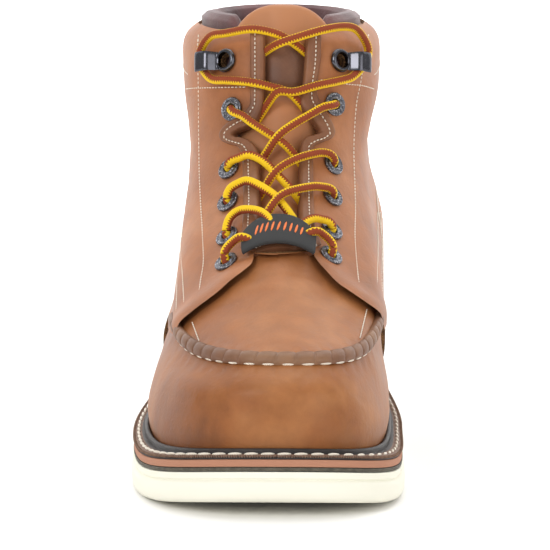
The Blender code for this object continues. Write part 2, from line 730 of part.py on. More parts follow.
def facing_frame(side, reach, height):
    """Axes at a place on a facing: outwards from the throat, up along the shaft, and off the leather."""
    around, up = facing_place(side * reach, height)
    off = normal_at(around, up)
    outward = Vector((side, 0.0, 0.0))
    outward = (outward - off * outward.dot(off)).normalized()
    upward = off.cross(outward) * side
    if upward.z < 0.0:
        upward = -upward
    return surface_point(around, up), outward, upward, off


def eyelet_height(stage, side):
    """The height of an eyelet, or of a stage between two, above the floor."""
    heights = EYELET_HEIGHTS + (HOOK_HEIGHT,)
    rise = MEDIAL_RISE if side > 0.0 else 0.0
    return height_at(smooth_value(heights, stage) + rise)


def make_eyelets(finish, parts, cutters, walls):
    """Round eyelets through the facings, each a flange with a short barrel."""
    seat = CLEARANCE + OVERLAY_THICKNESS + EYELET_LIFT
    reach = THROAT_HALF_WIDTH + EYELET_SETBACK
    barrel_end = -UPPER_WALL
    profile = (
        (EYELET_OUTER / 2.0, seat),
        (EYELET_OUTER * 0.42, seat + EYELET_HEIGHT),
        (EYELET_HOLE / 2.0, seat + EYELET_HEIGHT * 0.7),
        (EYELET_HOLE / 2.0, barrel_end),
        (EYELET_BARREL / 2.0, barrel_end),
        (EYELET_BARREL / 2.0, seat),
    )
    bm = bmesh.new()
    for side, label in ((-1.0, "lateral"), (1.0, "medial")):
        for number in range(len(EYELET_HEIGHTS)):
            centre, outward, upward, off = facing_frame(side, reach, eyelet_height(number, side))
            place_matrix = Matrix.Translation(centre) @ Matrix((outward, upward * side, off)).transposed().to_4x4()
            ring = bmesh.new()
            rows = []
            for radius, height in profile:
                turns = [2.0 * math.pi * i / EYELET_SIDES for i in range(EYELET_SIDES)]
                rows.append([place_matrix @ Vector((radius * math.cos(turn), radius * math.sin(turn), height))
                             for turn in turns])
            grid(ring, rows, closed=True, looped=True)
            name = f"eyelet_{label}_{len(EYELET_HEIGHTS) - number}"
            place(name, mesh_from(ring, name), finish, parts)
            hole = place_matrix @ Matrix.Translation((0.0, 0.0, seat / 2.0))
            radius = EYELET_BARREL / 2.0 + CLEARANCE
            bmesh.ops.create_cone(bm, cap_ends=True, segments=EYELET_SIDES, radius1=radius, radius2=radius,
                                  depth=EYELET_OUTER, matrix=hole)
    holes = place("eyelet_holes", mesh_from(bm, "eyelet_holes"), None, cutters)
    holes.hide_render = True
    holes.display_type = "WIRE"
    for target in walls:
        boolean(target, holes, "DIFFERENCE")


def make_hooks(finish, parts):
    """Speed hooks: a plate that lies on the leather at its ring end and stands off at its outer end."""
    seat = CLEARANCE * 3.0 + OVERLAY_THICKNESS
    reach = THROAT_HALF_WIDTH + HOOK_SETBACK
    half = HOOK_WIDTH / 2.0
    sections = (
        (-0.26, 0.55, 0.0),
        (-0.14, 0.90, 0.0),
        (0.10, 1.00, 0.0),
        (0.24, 0.90, 0.25),
        (0.40, 0.82, 0.90),
        (0.68, 0.86, 1.00),
        (0.74, 0.84, 0.85),
    )
    for side, label in ((-1.0, "lateral"), (1.0, "medial")):
        centre, outward, upward, off = facing_frame(side, reach, height_at(HOOK_HEIGHT))
        bm = bmesh.new()
        rows = []
        for along_plate, width, lift in sections:
            middle = centre + outward * (along_plate * HOOK_LENGTH) + off * (seat + lift * HOOK_STANDOFF)
            corners = ((-half, 0.0), (half, 0.0), (half, HOOK_PLATE), (-half, HOOK_PLATE))
            rows.append([middle + upward * (across * width) + off * height for across, height in corners])
        lines = grid(bm, rows, closed=True)
        bm.faces.new(lines[0])
        bm.faces.new(lines[-1])
        name = f"hook_{label}"
        place(name, mesh_from(bm, name), finish, parts)


def make_keeper(finish, parts):
    """The arched rubber bridge over the foot of the throat, which the lowest bar runs through."""
    low = CLEARANCE * 2.0 + OVERLAY_THICKNESS + BINDING_THICKNESS + KEEPER_LIFT
    shares = (-1.0, -0.75, -0.5, -0.25, 0.0, 0.25, 0.5, 0.75, 1.0)
    base = height_at(KEEPER_BASE)
    rows = []
    for layer in (low, low + KEEPER_THICKNESS):
        for rise in (0.0, 0.5, 1.0):
            row = []
            for share in shares:
                arch = KEEPER_ARCH * (1.0 - share * share)
                narrow = 1.0 - 0.45 * abs(share) ** 3
                around, up = facing_place(share * KEEPER_WIDTH / 2.0, base + arch + rise * KEEPER_HEIGHT * narrow)
                row.append(upper_at(around, up, layer))
            rows.append(row)
    under, over = rows[:3], rows[3:]
    bm = bmesh.new()
    lines = grid(bm, under + over[::-1], closed=False, looped=True)
    for end in (0, -1):
        bm.faces.new([line[end] for line in lines])
    place("keeper", mesh_from(bm, "keeper"), finish, parts)


def lace_tube(name, points, group):
    """A round cord through points, as a closed mesh."""
    curve = bpy.data.curves.new(name, "CURVE")
    curve.dimensions = "3D"
    curve.bevel_depth = LACE_DIAMETER / 2.0
    curve.bevel_resolution = 2
    curve.use_fill_caps = True
    spline = curve.splines.new("POLY")
    spline.points.add(len(points) - 1)
    for target, point in zip(spline.points, points):
        target.co = (*point, 1.0)
    source = bpy.data.objects.new(name + "_path", curve)
    group.objects.link(source)
    bpy.context.view_layer.update()
    evaluated = source.evaluated_get(bpy.context.evaluated_depsgraph_get())
    mesh = bpy.data.meshes.new_from_object(evaluated)
    bpy.data.objects.remove(source, do_unlink=True)
    bm = bmesh.new()
    bm.from_mesh(mesh)
    bpy.data.meshes.remove(mesh)
    bmesh.ops.remove_doubles(bm, verts=bm.verts, dist=EPSILON / 100.0)
    return mesh_from(bm, name)


def lace_points(rows, side):
    """The cord's middle line, from beside its eyelet to where it is tucked behind the other facing."""
    eyelet_reach = THROAT_HALF_WIDTH + EYELET_SETBACK
    seat = CLEARANCE * 2.0 + OVERLAY_THICKNESS
    points = []
    for row in rows:
        around, up = facing_place(side * row.out * eyelet_reach, eyelet_height(row.stage, side))
        points.append(upper_at(around, up, seat + row.off * LACE_DIAMETER))
    return points


def make_laces(finish, parts, cutters):
    """Pairs of crossing cords, joined where they touch, and the bar that leaves the keeper."""
    for name, rows in LATERAL_CORDS.items():
        lateral = lace_tube("lace_" + name, lace_points(rows, -1.0), cutters)
        medial = lace_tube("lace_over_" + name, lace_points(MEDIAL_CORDS[name], 1.0), cutters)
        if name == "keeper":
            place("lace_keeper_lateral", lateral, finish, parts)
            place("lace_keeper_medial", medial, finish, parts)
            continue
        lace = place("lace_" + name, lateral, finish, parts)
        other = place("lace_over_" + name, medial, None, cutters)
        other.hide_render = True
        other.display_type = "WIRE"
        boolean(lace, other, "UNION")
    for side, label in ((-1.0, "lateral"), (1.0, "medial")):
        name = "lace_bar_" + label
        place(name, lace_tube(name, lace_points(KEEPER_BAR, side), cutters), finish, parts)


def main():
    for obj in list(bpy.data.objects):
        bpy.data.objects.remove(obj, do_unlink=True)
    parts = collection("work_boot")
    cutters = collection("cutters")
    finishes = {
        "cream_rubber": material("cream_rubber", (0.88, 0.86, 0.74), 0.6),
        "dark_rubber": material("dark_rubber", (0.12, 0.10, 0.09), 0.6),
        "rust_midsole": material("rust_midsole", (0.47, 0.21, 0.13), 0.65),
        "dark_welt": material("dark_welt", (0.07, 0.05, 0.045), 0.4),
        "tan_leather": material("tan_leather", (0.43, 0.17, 0.07), 0.5),
        "lining": material("lining", (0.30, 0.15, 0.16), 0.8),
        "tongue_leather": material("tongue_leather", (0.45, 0.19, 0.08), 0.55),
        "gunmetal": material("gunmetal", (0.11, 0.11, 0.12), 0.35, 1.0),
        "dark_metal": material("dark_metal", (0.05, 0.05, 0.055), 0.2, 1.0),
        "black_rubber": material("black_rubber", (0.03, 0.03, 0.032), 0.5),
        "lace_cord": material("lace_cord", (0.55, 0.33, 0.06), 0.8),
    }
    throat = prism("throat", throat_outline(THROAT_EDGE), 1, -UPPER_LENGTH, 0.065, cutters)
    make_sole(finishes, parts, cutters)
    make_welt(finishes["dark_welt"], parts)
    make_insole(finishes["lining"], parts)
    upper = make_upper(finishes["tan_leather"], parts, throat)
    make_moc_seam(finishes["tan_leather"], parts, cutters)
    quarters = make_overlays(finishes["tan_leather"], parts, cutters, throat)
    make_bindings(finishes["tan_leather"], parts, cutters)
    make_collar_lining(finishes["lining"], parts, cutters)
    make_tongue(finishes["tongue_leather"], parts)
    make_eyelets(finishes["gunmetal"], parts, cutters, [upper] + quarters)
    make_hooks(finishes["dark_metal"], parts)
    make_keeper(finishes["black_rubber"], parts)
    make_laces(finishes["lace_cord"], parts, cutters)


if __name__ == "__main__":
    main()
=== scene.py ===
"""The looks of a right work boot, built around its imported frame.

Metres, +Z up. The toe points to -Y, the lateral side is -X and the medial side is +X.
"""
import functools
import math
from collections import namedtuple

import bmesh
import bpy
import numpy
from bpy.props import FloatProperty, FloatVectorProperty, PointerProperty
from mathutils import Matrix, Vector, noise
from mathutils.bvhtree import BVHTree


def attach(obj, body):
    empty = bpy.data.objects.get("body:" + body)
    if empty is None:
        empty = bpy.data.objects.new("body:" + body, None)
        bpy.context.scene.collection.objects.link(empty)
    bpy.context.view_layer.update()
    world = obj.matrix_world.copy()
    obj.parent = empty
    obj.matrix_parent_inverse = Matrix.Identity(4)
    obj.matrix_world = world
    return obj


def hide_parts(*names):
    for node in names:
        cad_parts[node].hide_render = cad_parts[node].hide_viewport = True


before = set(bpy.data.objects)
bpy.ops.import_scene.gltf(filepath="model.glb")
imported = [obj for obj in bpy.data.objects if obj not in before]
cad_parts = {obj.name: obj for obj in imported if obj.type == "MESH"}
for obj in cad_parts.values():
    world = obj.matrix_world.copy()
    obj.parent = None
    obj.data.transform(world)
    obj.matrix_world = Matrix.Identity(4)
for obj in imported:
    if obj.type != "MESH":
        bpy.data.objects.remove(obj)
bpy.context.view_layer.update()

bl_info = {
    "name": "Work Boot",
    "version": (1, 0, 0),
    "blender": (4, 5, 0),
    "location": "View3D > Sidebar > Work Boot",
    "description": "Dresses the frame of a moc-toe work boot with leather, rubber, thread, laces and metal",
    "category": "Object",
}

# Sole, as in the frame
SOLE_LENGTH = 0.308
SOLE_WIDTH = 0.1195
TOE_SPRING = 0.0075
SPRING_LENGTH = 0.064
HEEL_BEVEL = 0.0020
HEEL_BEVEL_LENGTH = 0.022
OUTSOLE_TOE = 0.0128
OUTSOLE_HEEL = 0.0330
LAYER_THICKNESS = 0.0015
MIDSOLE_THICKNESS = 0.0031
MIDSOLE_SETBACK = 0.0010
UPPER_BAND_HEIGHT = 0.0034
BAND_STEP = 0.0011
TREAD_DEPTH = 0.0016
TREAD_GROOVE = 0.0034
TREAD_PITCH = 0.0185
TREAD_MARGIN = 0.0075
WEDGE_SHARES = (0.0, 0.03, 0.16, 0.42, 0.68, 0.88, 1.0)

# Welt
WELT_SETBACK = 0.0012
BEAD_HEIGHT = 0.0047

# Upper, as in the frame
UPPER_LENGTH = 0.292
UPPER_WIDTH = 0.106
SHAFT_HEIGHT = 0.161
UPPER_WALL = 0.0022
OVERLAY_THICKNESS = 0.0019
BINDING_THICKNESS = 0.0011
INSOLE_THICKNESS = 0.0035
SEAM_HALF_WIDTH = 0.0030
CLEARANCE = 0.0003

# Throat, tongue and lacing
THROAT_HALF_WIDTH = 0.0097
TONGUE_HALF_WIDTH = 0.0255
TONGUE_THICKNESS = 0.0050
TONGUE_RISE = 0.0150
TONGUE_CROWN = 0.0016
TONGUE_GAP = 0.0011
EYELET_OUTER = 0.0110
EYELET_HOLE = 0.0046
EYELET_SETBACK = 0.0120
EYELET_LIFT = 0.0010
HOOK_LENGTH = 0.0195
HOOK_WIDTH = 0.0100
HOOK_PLATE = 0.0011
HOOK_STANDOFF = 0.0050
HOOK_SETBACK = 0.0148
HOOK_HOLE = 0.0068
EDGE_LIFT = 0.0020
KEEPER_WIDTH = 0.0262
KEEPER_HEIGHT = 0.0104
KEEPER_ARCH = 0.0046
KEEPER_THICKNESS = 0.0028
KEEPER_LIFT = 0.0009
LACE_DIAMETER = 0.0038
FACING_TOP = CLEARANCE + OVERLAY_THICKNESS
EPSILON = 0.0008
SEAM_STEPS = 240
SEAM_MIDDLE = 0.45
SEAM_REACH = 1.25
SEAM_PROUD = 0.0034

SoleWidths = namedtuple("SoleWidths", "toe ball waist heel nose tail nose_blunt tail_blunt")
SOLE_WIDTHS = SoleWidths(toe=0.487, ball=0.500, waist=0.405, heel=0.378, nose=0.31, tail=0.25,
                         nose_blunt=3.0, tail_blunt=2.4)
MIDDLE_LINE = (0.050, -0.002, 0.006, 0.020)

# Sections of the upper from the welt to the collar, in the same shares as the frame's
Ring = namedtuple("Ring", "front back lean apex toe ball waist heel nose tail blunt"
                          " front_up fore_up rear_up back_up")
RINGS = (
    Ring(-0.5, 0.493, 0.0, 0.0, 0.455, 0.48, 0.365, 0.355, 0.32, 0.25, 2.6, 0.0, 0.0, 0.0, 0.0),
    Ring(-0.504, 0.5, 0.004, 0.0, 0.472, 0.502, 0.395, 0.37, 0.32, 0.26, 2.6, 0.075, 0.075, 0.076, 0.078),
    Ring(-0.498, 0.508, 0.01, 0.0, 0.452, 0.472, 0.412, 0.373, 0.32, 0.27, 2.55, 0.17, 0.172, 0.178, 0.185),
    Ring(-0.452, 0.51, 0.03, 0.01, 0.398, 0.42, 0.416, 0.368, 0.34, 0.28, 2.4, 0.258, 0.298, 0.318, 0.325),
    Ring(-0.39, 0.507, 0.03, 0.015, 0.34, 0.408, 0.412, 0.36, 0.38, 0.31, 2.1, 0.312, 0.362, 0.405, 0.42),
    Ring(-0.288, 0.5, 0.017, 0.022, 0.265, 0.388, 0.394, 0.352, 0.42, 0.34, 1.85, 0.387, 0.44, 0.495, 0.52),
    Ring(-0.177, 0.49, 0.007, 0.034, 0.24, 0.364, 0.374, 0.345, 0.46, 0.38, 1.8, 0.482, 0.528, 0.578,
         0.615),
    Ring(-0.091, 0.481, 0.004, 0.034, 0.265, 0.358, 0.368, 0.345, 0.48, 0.42, 1.85, 0.562, 0.608, 0.658,
         0.695),
    Ring(-0.012, 0.476, 0.006, 0.03, 0.305, 0.376, 0.384, 0.358, 0.5, 0.46, 2.05, 0.65, 0.69, 0.733, 0.765),
    Ring(0.04, 0.474, 0.01, 0.032, 0.355, 0.403, 0.408, 0.385, 0.5, 0.5, 2.25, 0.77, 0.79, 0.815, 0.83),
    Ring(0.068, 0.478, 0.008, 0.03, 0.385, 0.41, 0.414, 0.402, 0.5, 0.5, 2.3, 0.895, 0.895, 0.895, 0.895),
    Ring(0.084, 0.476, 0.006, 0.03, 0.365, 0.388, 0.392, 0.385, 0.5, 0.5, 2.3, 1.0, 0.985, 0.965, 0.955),
)
SEAM_RING = 3
THROAT_RING = 6
COLLAR_RING = len(RINGS) - 1

# The panels' front edges, seen from the side
Side = namedtuple("Side", "along height")
QUARTER_FRONT = (
    Side(-0.178, 0.590),
    Side(-0.188, 0.450),
    Side(-0.184, 0.370),
    Side(-0.168, 0.305),
    Side(-0.140, 0.230),
    Side(-0.100, 0.140),
    Side(-0.055, 0.060),
    Side(-0.030, -0.100),
)
COUNTER_FRONT = (
    Side(0.085, -0.100),
    Side(0.080, 0.150),
    Side(0.074, 0.330),
    Side(0.092, 0.450),
    Side(0.150, 0.540),
    Side(0.250, 0.610),
    Side(0.345, 0.690),
    Side(0.400, 0.800),
    Side(0.415, 1.200),
)

# Heights on the facings, as shares of SHAFT_HEIGHT above the sole's ball
EYELET_HEIGHTS = (0.467, 0.526, 0.610, 0.693, 0.857)
MEDIAL_RISE = 0.014
HOOK_HEIGHT = 0.991
KEEPER_BASE = 0.480

# The laces' routes, the same as the frame's
LacePoint = namedtuple("LacePoint", "out stage off")
LATERAL_CORDS = {
    "keeper": (LacePoint(0.73, 1.62, 1.00), LacePoint(0.57, 1.68, 1.10), LacePoint(0.30, 1.62, 1.20)),
    "first": (LacePoint(0.73, 2.45, 1.00), LacePoint(0.55, 2.55, 1.10), LacePoint(0.25, 2.35, 0.75),
              LacePoint(0.02, 2.12, 0.30), LacePoint(-0.32, 1.60, -0.40)),
    "second": (LacePoint(0.73, 3.16, 0.95), LacePoint(0.55, 3.22, 1.10), LacePoint(0.30, 3.13, 0.75),
               LacePoint(0.04, 2.85, 0.30), LacePoint(-0.32, 2.40, -0.40)),
    "third": (LacePoint(0.73, 3.86, 0.95), LacePoint(0.55, 3.74, 1.10), LacePoint(0.24, 3.58, 0.70),
              LacePoint(-0.06, 3.45, 0.30), LacePoint(-0.32, 3.28, -0.40)),
    "fourth": (LacePoint(1.32, 4.58, 0.85), LacePoint(1.05, 4.57, 0.85), LacePoint(0.55, 4.51, 1.28),
               LacePoint(0.15, 4.42, 0.62), LacePoint(-0.11, 4.35, 0.30), LacePoint(-0.32, 4.19, -0.40)),
    "top": (LacePoint(1.32, 5.47, 0.85), LacePoint(1.05, 5.54, 0.80), LacePoint(0.55, 5.64, 1.10),
            LacePoint(0.15, 5.58, 0.50), LacePoint(-0.10, 5.46, 0.30), LacePoint(-0.32, 5.33, -0.40)),
}
MEDIAL_CORDS = {
    "keeper": (LacePoint(0.73, 1.24, 1.00), LacePoint(0.60, 1.26, 1.10), LacePoint(0.43, 1.35, 1.35)),
    "first": (LacePoint(0.73, 2.18, 1.00), LacePoint(0.51, 2.16, 1.15), LacePoint(0.08, 1.95, 1.15),
              LacePoint(-0.14, 1.66, 0.60), LacePoint(-0.32, 1.38, -0.40)),
    "second": (LacePoint(0.73, 3.20, 1.00), LacePoint(0.51, 3.14, 1.15), LacePoint(0.22, 2.98, 1.15),
               LacePoint(-0.06, 2.70, 0.95), LacePoint(-0.32, 2.36, -0.40)),
    "third": (LacePoint(0.73, 3.93, 1.00), LacePoint(0.50, 3.80, 1.15), LacePoint(0.20, 3.62, 1.15),
              LacePoint(-0.06, 3.45, 1.05), LacePoint(-0.32, 3.24, -0.40)),
    "fourth": (LacePoint(1.28, 4.54, 0.85), LacePoint(1.10, 4.47, 0.80), LacePoint(0.60, 4.34, 1.10),
               LacePoint(0.20, 4.20, 1.15), LacePoint(-0.08, 4.22, 1.10), LacePoint(-0.32, 4.02, -0.40)),
    "top": (LacePoint(1.32, 5.50, 0.85), LacePoint(1.10, 5.57, 0.80), LacePoint(0.70, 5.51, 1.10),
            LacePoint(0.25, 5.36, 1.15), LacePoint(-0.08, 5.24, 1.10), LacePoint(-0.32, 5.14, -0.40)),
}
KEEPER_BAR = (LacePoint(0.96, 0.20, 1.02), LacePoint(0.86, 0.45, 1.15), LacePoint(0.72, 0.66, 1.35),
              LacePoint(0.60, 0.74, 1.62), LacePoint(0.50, 0.78, 1.35), LacePoint(0.42, 0.80, 0.40))


def smooth_value(values, position):
    """A smooth value through evenly spaced ones, which never swings past them."""
    last = len(values) - 1
    index = min(max(int(math.floor(position)), 0), last - 1)
    share = position - index
    steps = [values[i + 1] - values[i] for i in range(last)]

    def slope(knot):
        if knot == 0:
            return steps[0]
        if knot == last:
            return steps[-1]
        before, after = steps[knot - 1], steps[knot]
        if before * after <= 0.0:
            return 0.0
        return 2.0 * before * after / (before + after)

    start, end = slope(index), slope(index + 1)
    if share < 0.0:
        return values[0] + start * share
    if share > 1.0:
        return values[last] + end * (share - 1.0)
    square, cube = share * share, share ** 3
    return ((2 * cube - 3 * square + 1) * values[index] + (cube - 2 * square + share) * start
            + (3 * square - 2 * cube) * values[index + 1] + (cube - square) * end)


def curve_through(points, steps):
    """Points of a smooth curve through a short list of points."""
    columns = [[point[axis] for point in points] for axis in range(2)]
    count = (len(points) - 1) * steps
    return [tuple(smooth_value(column, i / steps) for column in columns) for i in range(count + 1)]


def rounded(share, length, blunt):
    """How far a blunt end has opened at a share of the way along it."""
    if share >= length:
        return 1.0
    left = 1.0 - max(share, 0.0) / length
    return max(1.0 - left ** blunt, 0.0) ** (1.0 / blunt)


def along(y, length):
    """The share of a length, from toe to heel, where y lies."""
    return y / length + 0.5


def middle_line(y):
    share = min(max(along(y, SOLE_LENGTH), 0.0), 1.0)
    return SOLE_WIDTH * smooth_value(MIDDLE_LINE, 3.0 * share)


def sole_bottom(y):
    toe_reach = (-SOLE_LENGTH / 2 + SPRING_LENGTH - y) / SPRING_LENGTH
    heel_reach = (y - SOLE_LENGTH / 2 + HEEL_BEVEL_LENGTH) / HEEL_BEVEL_LENGTH
    return TOE_SPRING * max(toe_reach, 0.0) ** 2 + HEEL_BEVEL * max(heel_reach, 0.0) ** 2


def outsole_top(y):
    toe_reach = (-SOLE_LENGTH / 2 + SPRING_LENGTH - y) / SPRING_LENGTH
    share = min(max(along(y, SOLE_LENGTH), 0.0), 1.0) * (len(WEDGE_SHARES) - 1)
    wedge = (OUTSOLE_HEEL - OUTSOLE_TOE) * smooth_value(WEDGE_SHARES, share)
    return OUTSOLE_TOE + wedge + TOE_SPRING * max(toe_reach, 0.0) ** 2


def layer_top(y):
    return outsole_top(y) + CLEARANCE + LAYER_THICKNESS


def midsole_top(y):
    return layer_top(y) + CLEARANCE + MIDSOLE_THICKNESS


def sole_top(y):
    """The height at which upper, welt and insole stand."""
    return midsole_top(y) + CLEARANCE


def end_share(around):
    return (1.0 - math.cos(2.0 * math.pi * around)) / 2.0


def side_of(around):
    return -1.0 if around % 1.0 < 0.5 else 1.0


def sole_rim(around):
    share = end_share(around)
    y = SOLE_LENGTH * (share - 0.5)
    half = SOLE_WIDTH * smooth_value(SOLE_WIDTHS[:4], 3.0 * share)
    half *= rounded(share, SOLE_WIDTHS.nose, SOLE_WIDTHS.nose_blunt)
    half *= rounded(1.0 - share, SOLE_WIDTHS.tail, SOLE_WIDTHS.tail_blunt)
    return Vector((middle_line(y) + side_of(around) * half, y, 0.0))


def rim_normal(around):
    before, after = sole_rim(around - EPSILON), sole_rim(around + EPSILON)
    tangent = (after - before).normalized()
    return Vector((tangent.y, -tangent.x, 0.0)) * -1.0


def sole_point(around, inset):
    return sole_rim(around) - rim_normal(around) * inset


def ring_at(up):
    return Ring(*(smooth_value(column, up) for column in zip(*RINGS)))


def surface_point(around, up):
    """A point of the upper's outer face: around from toe to heel and back, up counted in rings."""
    ring = ring_at(up)
    share = end_share(around)
    y = UPPER_LENGTH * (ring.front + (ring.back - ring.front) * share)
    widths = (ring.toe, ring.ball, ring.waist, ring.heel)
    half = UPPER_WIDTH * smooth_value(widths, 3.0 * share)
    half *= rounded(share, ring.nose, ring.blunt) * rounded(1.0 - share, ring.tail, ring.blunt)
    rises = (ring.front_up, ring.fore_up, ring.rear_up, ring.back_up)
    rise = SHAFT_HEIGHT * smooth_value(rises, 3.0 * share)
    middle = middle_line(y) + UPPER_WIDTH * (ring.lean + ring.apex * (1.0 - share) ** 3)
    return Vector((middle + side_of(around) * half, y, sole_top(y) + rise))


def height_at(share):
    """A height on the shaft, counted above the sole's ball."""
    return OUTSOLE_TOE + share * SHAFT_HEIGHT + LAYER_THICKNESS + MIDSOLE_THICKNESS


def throat_middle(height):
    """Where the front of the instep and the shaft lies at a height above the floor."""
    fronts = [surface_point(0.0, up) for up in range(THROAT_RING, COLLAR_RING + 1)]
    for lower, upper in zip(fronts, fronts[1:]):
        if height < upper.z or upper is fronts[-1]:
            share = min(max((height - lower.z) / (upper.z - lower.z), 0.0), 1.0)
            return lower.x + (upper.x - lower.x) * share
    return fronts[-1].x


# Camera and light, fitted to the photograph, which is square
PHOTO_SIZE = 550.0
SENSOR_WIDTH = 36.0
CAMERA_PLACE = (0.0530, -1.9689, 0.3473)
CAMERA_AZIMUTH = 1.5
CAMERA_PITCH = -7.65
CAMERA_LENS = 288.0
PHOTO_MIDDLE = 281.0
STUDIO_LIGHTS = (
    ("key", (-0.9, -1.5, 1.1), 15.0, 0.9),
    ("fill", (1.2, -1.4, 0.6), 8.0, 1.2),
    ("top", (0.1, 0.1, 1.8), 11.0, 1.4),
)
STUDIO_AIR = 0.45
BACKDROP_PLACE = 0.9

# The collar's edge turned in, counted in rings
COLLAR_ROLL = 0.0050
COLLAR_ROLL_START = 10.1

surface_point = functools.lru_cache(maxsize=None)(surface_point)
sole_rim = functools.lru_cache(maxsize=None)(sole_rim)


def sheet(columns, rows, place_at, wrap_columns=False, wrap_rows=False, flip=False):
    """A bmesh grid bent by place_at(u, v), with u and v from 0 to 1, and its own UV map."""
    bm = bmesh.new()
    bm.loops.layers.uv.new("UVMap")
    bmesh.ops.create_grid(bm, x_segments=columns, y_segments=rows, size=0.5, calc_uvs=True)
    seams = []
    for vert in bm.verts:
        u = min(max(vert.co.x + 0.5, 0.0), 1.0)
        v = min(max(vert.co.y + 0.5, 0.0), 1.0)
        if (wrap_columns and (u < 1e-6 or u > 1.0 - 1e-6)) or (wrap_rows and (v < 1e-6 or v > 1.0 - 1e-6)):
            seams.append(vert)
        vert.co = place_at(u, v)
    if seams:
        bmesh.ops.remove_doubles(bm, verts=seams, dist=2e-6)
    if flip:
        bmesh.ops.reverse_faces(bm, faces=bm.faces)
    return bm


def close_ends(bm):
    """Caps every open edge loop and turns the faces outwards."""
    loose = [edge for edge in bm.edges if edge.is_boundary]
    bmesh.ops.holes_fill(bm, edges=loose, sides=0)
    bmesh.ops.recalc_face_normals(bm, faces=bm.faces)
    return bm


def mesh_from(bm, name):
    """Turns a bmesh into a mesh and frees it."""
    mesh = bpy.data.meshes.new(name)
    bm.to_mesh(mesh)
    bm.free()
    return mesh


def join_into(bm, part):
    """Adds a part's faces to a larger bmesh and frees the part."""
    mesh = mesh_from(part, "part")
    bm.from_mesh(mesh)
    bpy.data.meshes.remove(mesh)


def linked(name, data):
    """A new object, linked to the scene."""
    obj = bpy.data.objects.new(name, data)
    bpy.context.scene.collection.objects.link(obj)
    return obj


def piece_from(bm, name, finishes, nodes=(), sharp=40.0):
    """Makes a finished piece: smooth shading, materials, body and replaced nodes."""
    mesh = mesh_from(bm, name)
    mesh.shade_smooth()
    mesh.set_sharp_from_angle(angle=math.radians(sharp))
    obj = linked(name, mesh)
    for finish in finishes:
        mesh.materials.append(bpy.data.materials[finish])
    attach(obj, "root")
    if nodes:
        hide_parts(*nodes)
    return obj


def applied(obj):
    """Bakes an object's modifiers into its mesh."""
    bpy.context.view_layer.update()
    evaluated = obj.evaluated_get(bpy.context.evaluated_depsgraph_get())
    mesh = bpy.data.meshes.new_from_object(evaluated)
    old = obj.data
    obj.modifiers.clear()
    obj.data = mesh
    mesh.name = obj.name
    bpy.data.meshes.remove(old)
    return obj


def thicken(obj, thickness, inner_material=0, rim_material=0):
    solid = obj.modifiers.new("wall", "SOLIDIFY")
    solid.thickness = thickness
    solid.offset = -1.0
    solid.use_even_offset = False
    solid.material_offset = inner_material
    solid.material_offset_rim = rim_material
    return obj


def plain_object(bm, name, finish):
    """An object of one material that is no piece of the boot, such as a cutter."""
    mesh = mesh_from(bm, name)
    mesh.materials.append(bpy.data.materials[finish])
    return linked(name, mesh)


def prism(name, outline, axis, low, high, finish):
    """A cutter: an outline seen from the side (axis 0) or the front (axis 1), made thick."""
    bm = bmesh.new()
    corners = []
    for a, b in outline:
        corners.append(bm.verts.new((low, a, b) if axis == 0 else (a, low, b)))
    face = bm.faces.new(corners)
    moved = bmesh.ops.extrude_face_region(bm, geom=[face])["geom"]
    reach = Vector((high - low, 0.0, 0.0)) if axis == 0 else Vector((0.0, high - low, 0.0))
    far = [item for item in moved if isinstance(item, bmesh.types.BMVert)]
    bmesh.ops.translate(bm, vec=reach, verts=far)
    bmesh.ops.recalc_face_normals(bm, faces=bm.faces)
    return plain_object(bm, name, finish)


def cut(obj, cutters, operation="DIFFERENCE"):
    """Cuts an object with prisms; the cut faces take the cutter's material."""
    for cutter in cutters:
        step = obj.modifiers.new("cut", "BOOLEAN")
        step.operation = operation
        step.object = cutter
        step.solver = "MANIFOLD"
        step.material_mode = "TRANSFER"
    applied(obj)
    obj.data.shade_smooth()
    obj.data.set_sharp_from_angle(angle=math.radians(40.0))
    return obj


def discard(cutters):
    for cutter in cutters:
        bpy.data.objects.remove(cutter, do_unlink=True)


SKIN_COLUMNS = 288
SKIN_STEP = 0.1
END_EASE = 1.3


def turn_to_around(turn):
    """Spreads places round the boot evenly over its toe and its heel."""
    whole, share = divmod(turn * 2.0, 1.0)
    eased = share ** END_EASE
    return 0.5 * (whole + eased / (eased + (1.0 - share) ** END_EASE))


@functools.lru_cache(maxsize=1)
def skin_table():
    """Points and normals of the upper's outer face on a fine net, worked out once."""
    levels = round((COLLAR_RING + 1.0) / SKIN_STEP) + 1
    arounds = [turn_to_around(column / SKIN_COLUMNS) for column in range(SKIN_COLUMNS)]
    points = [[surface_point(around, level * SKIN_STEP) for around in arounds] for level in range(levels)]
    normals = []
    for level in range(levels):
        lower, upper = points[max(level - 1, 0)], points[min(level + 1, levels - 1)]
        row = points[level]
        normals.append([(upper[i] - lower[i]).cross(row[(i + 1) % SKIN_COLUMNS] - row[i - 1]).normalized()
                        for i in range(SKIN_COLUMNS)])
    return points, normals


def skin(around, up, out=0.0):
    """The upper's outer face, moved out by a distance, read from the fine net."""
    points, normals = skin_table()
    column = (around % 1.0) * SKIN_COLUMNS
    level = min(max(up / SKIN_STEP, 0.0), len(points) - 1.001)
    c0, l0 = int(column), int(level)
    fc, fl = column - c0, level - l0
    c0 %= SKIN_COLUMNS
    c1 = (c0 + 1) % SKIN_COLUMNS
    point = ((points[l0][c0] * (1 - fc) + points[l0][c1] * fc) * (1 - fl)
             + (points[l0 + 1][c0] * (1 - fc) + points[l0 + 1][c1] * fc) * fl)
    normal = ((normals[l0][c0] * (1 - fc) + normals[l0][c1] * fc) * (1 - fl)
              + (normals[l0 + 1][c0] * (1 - fc) + normals[l0 + 1][c1] * fc) * fl)
    return point + normal.normalized() * out


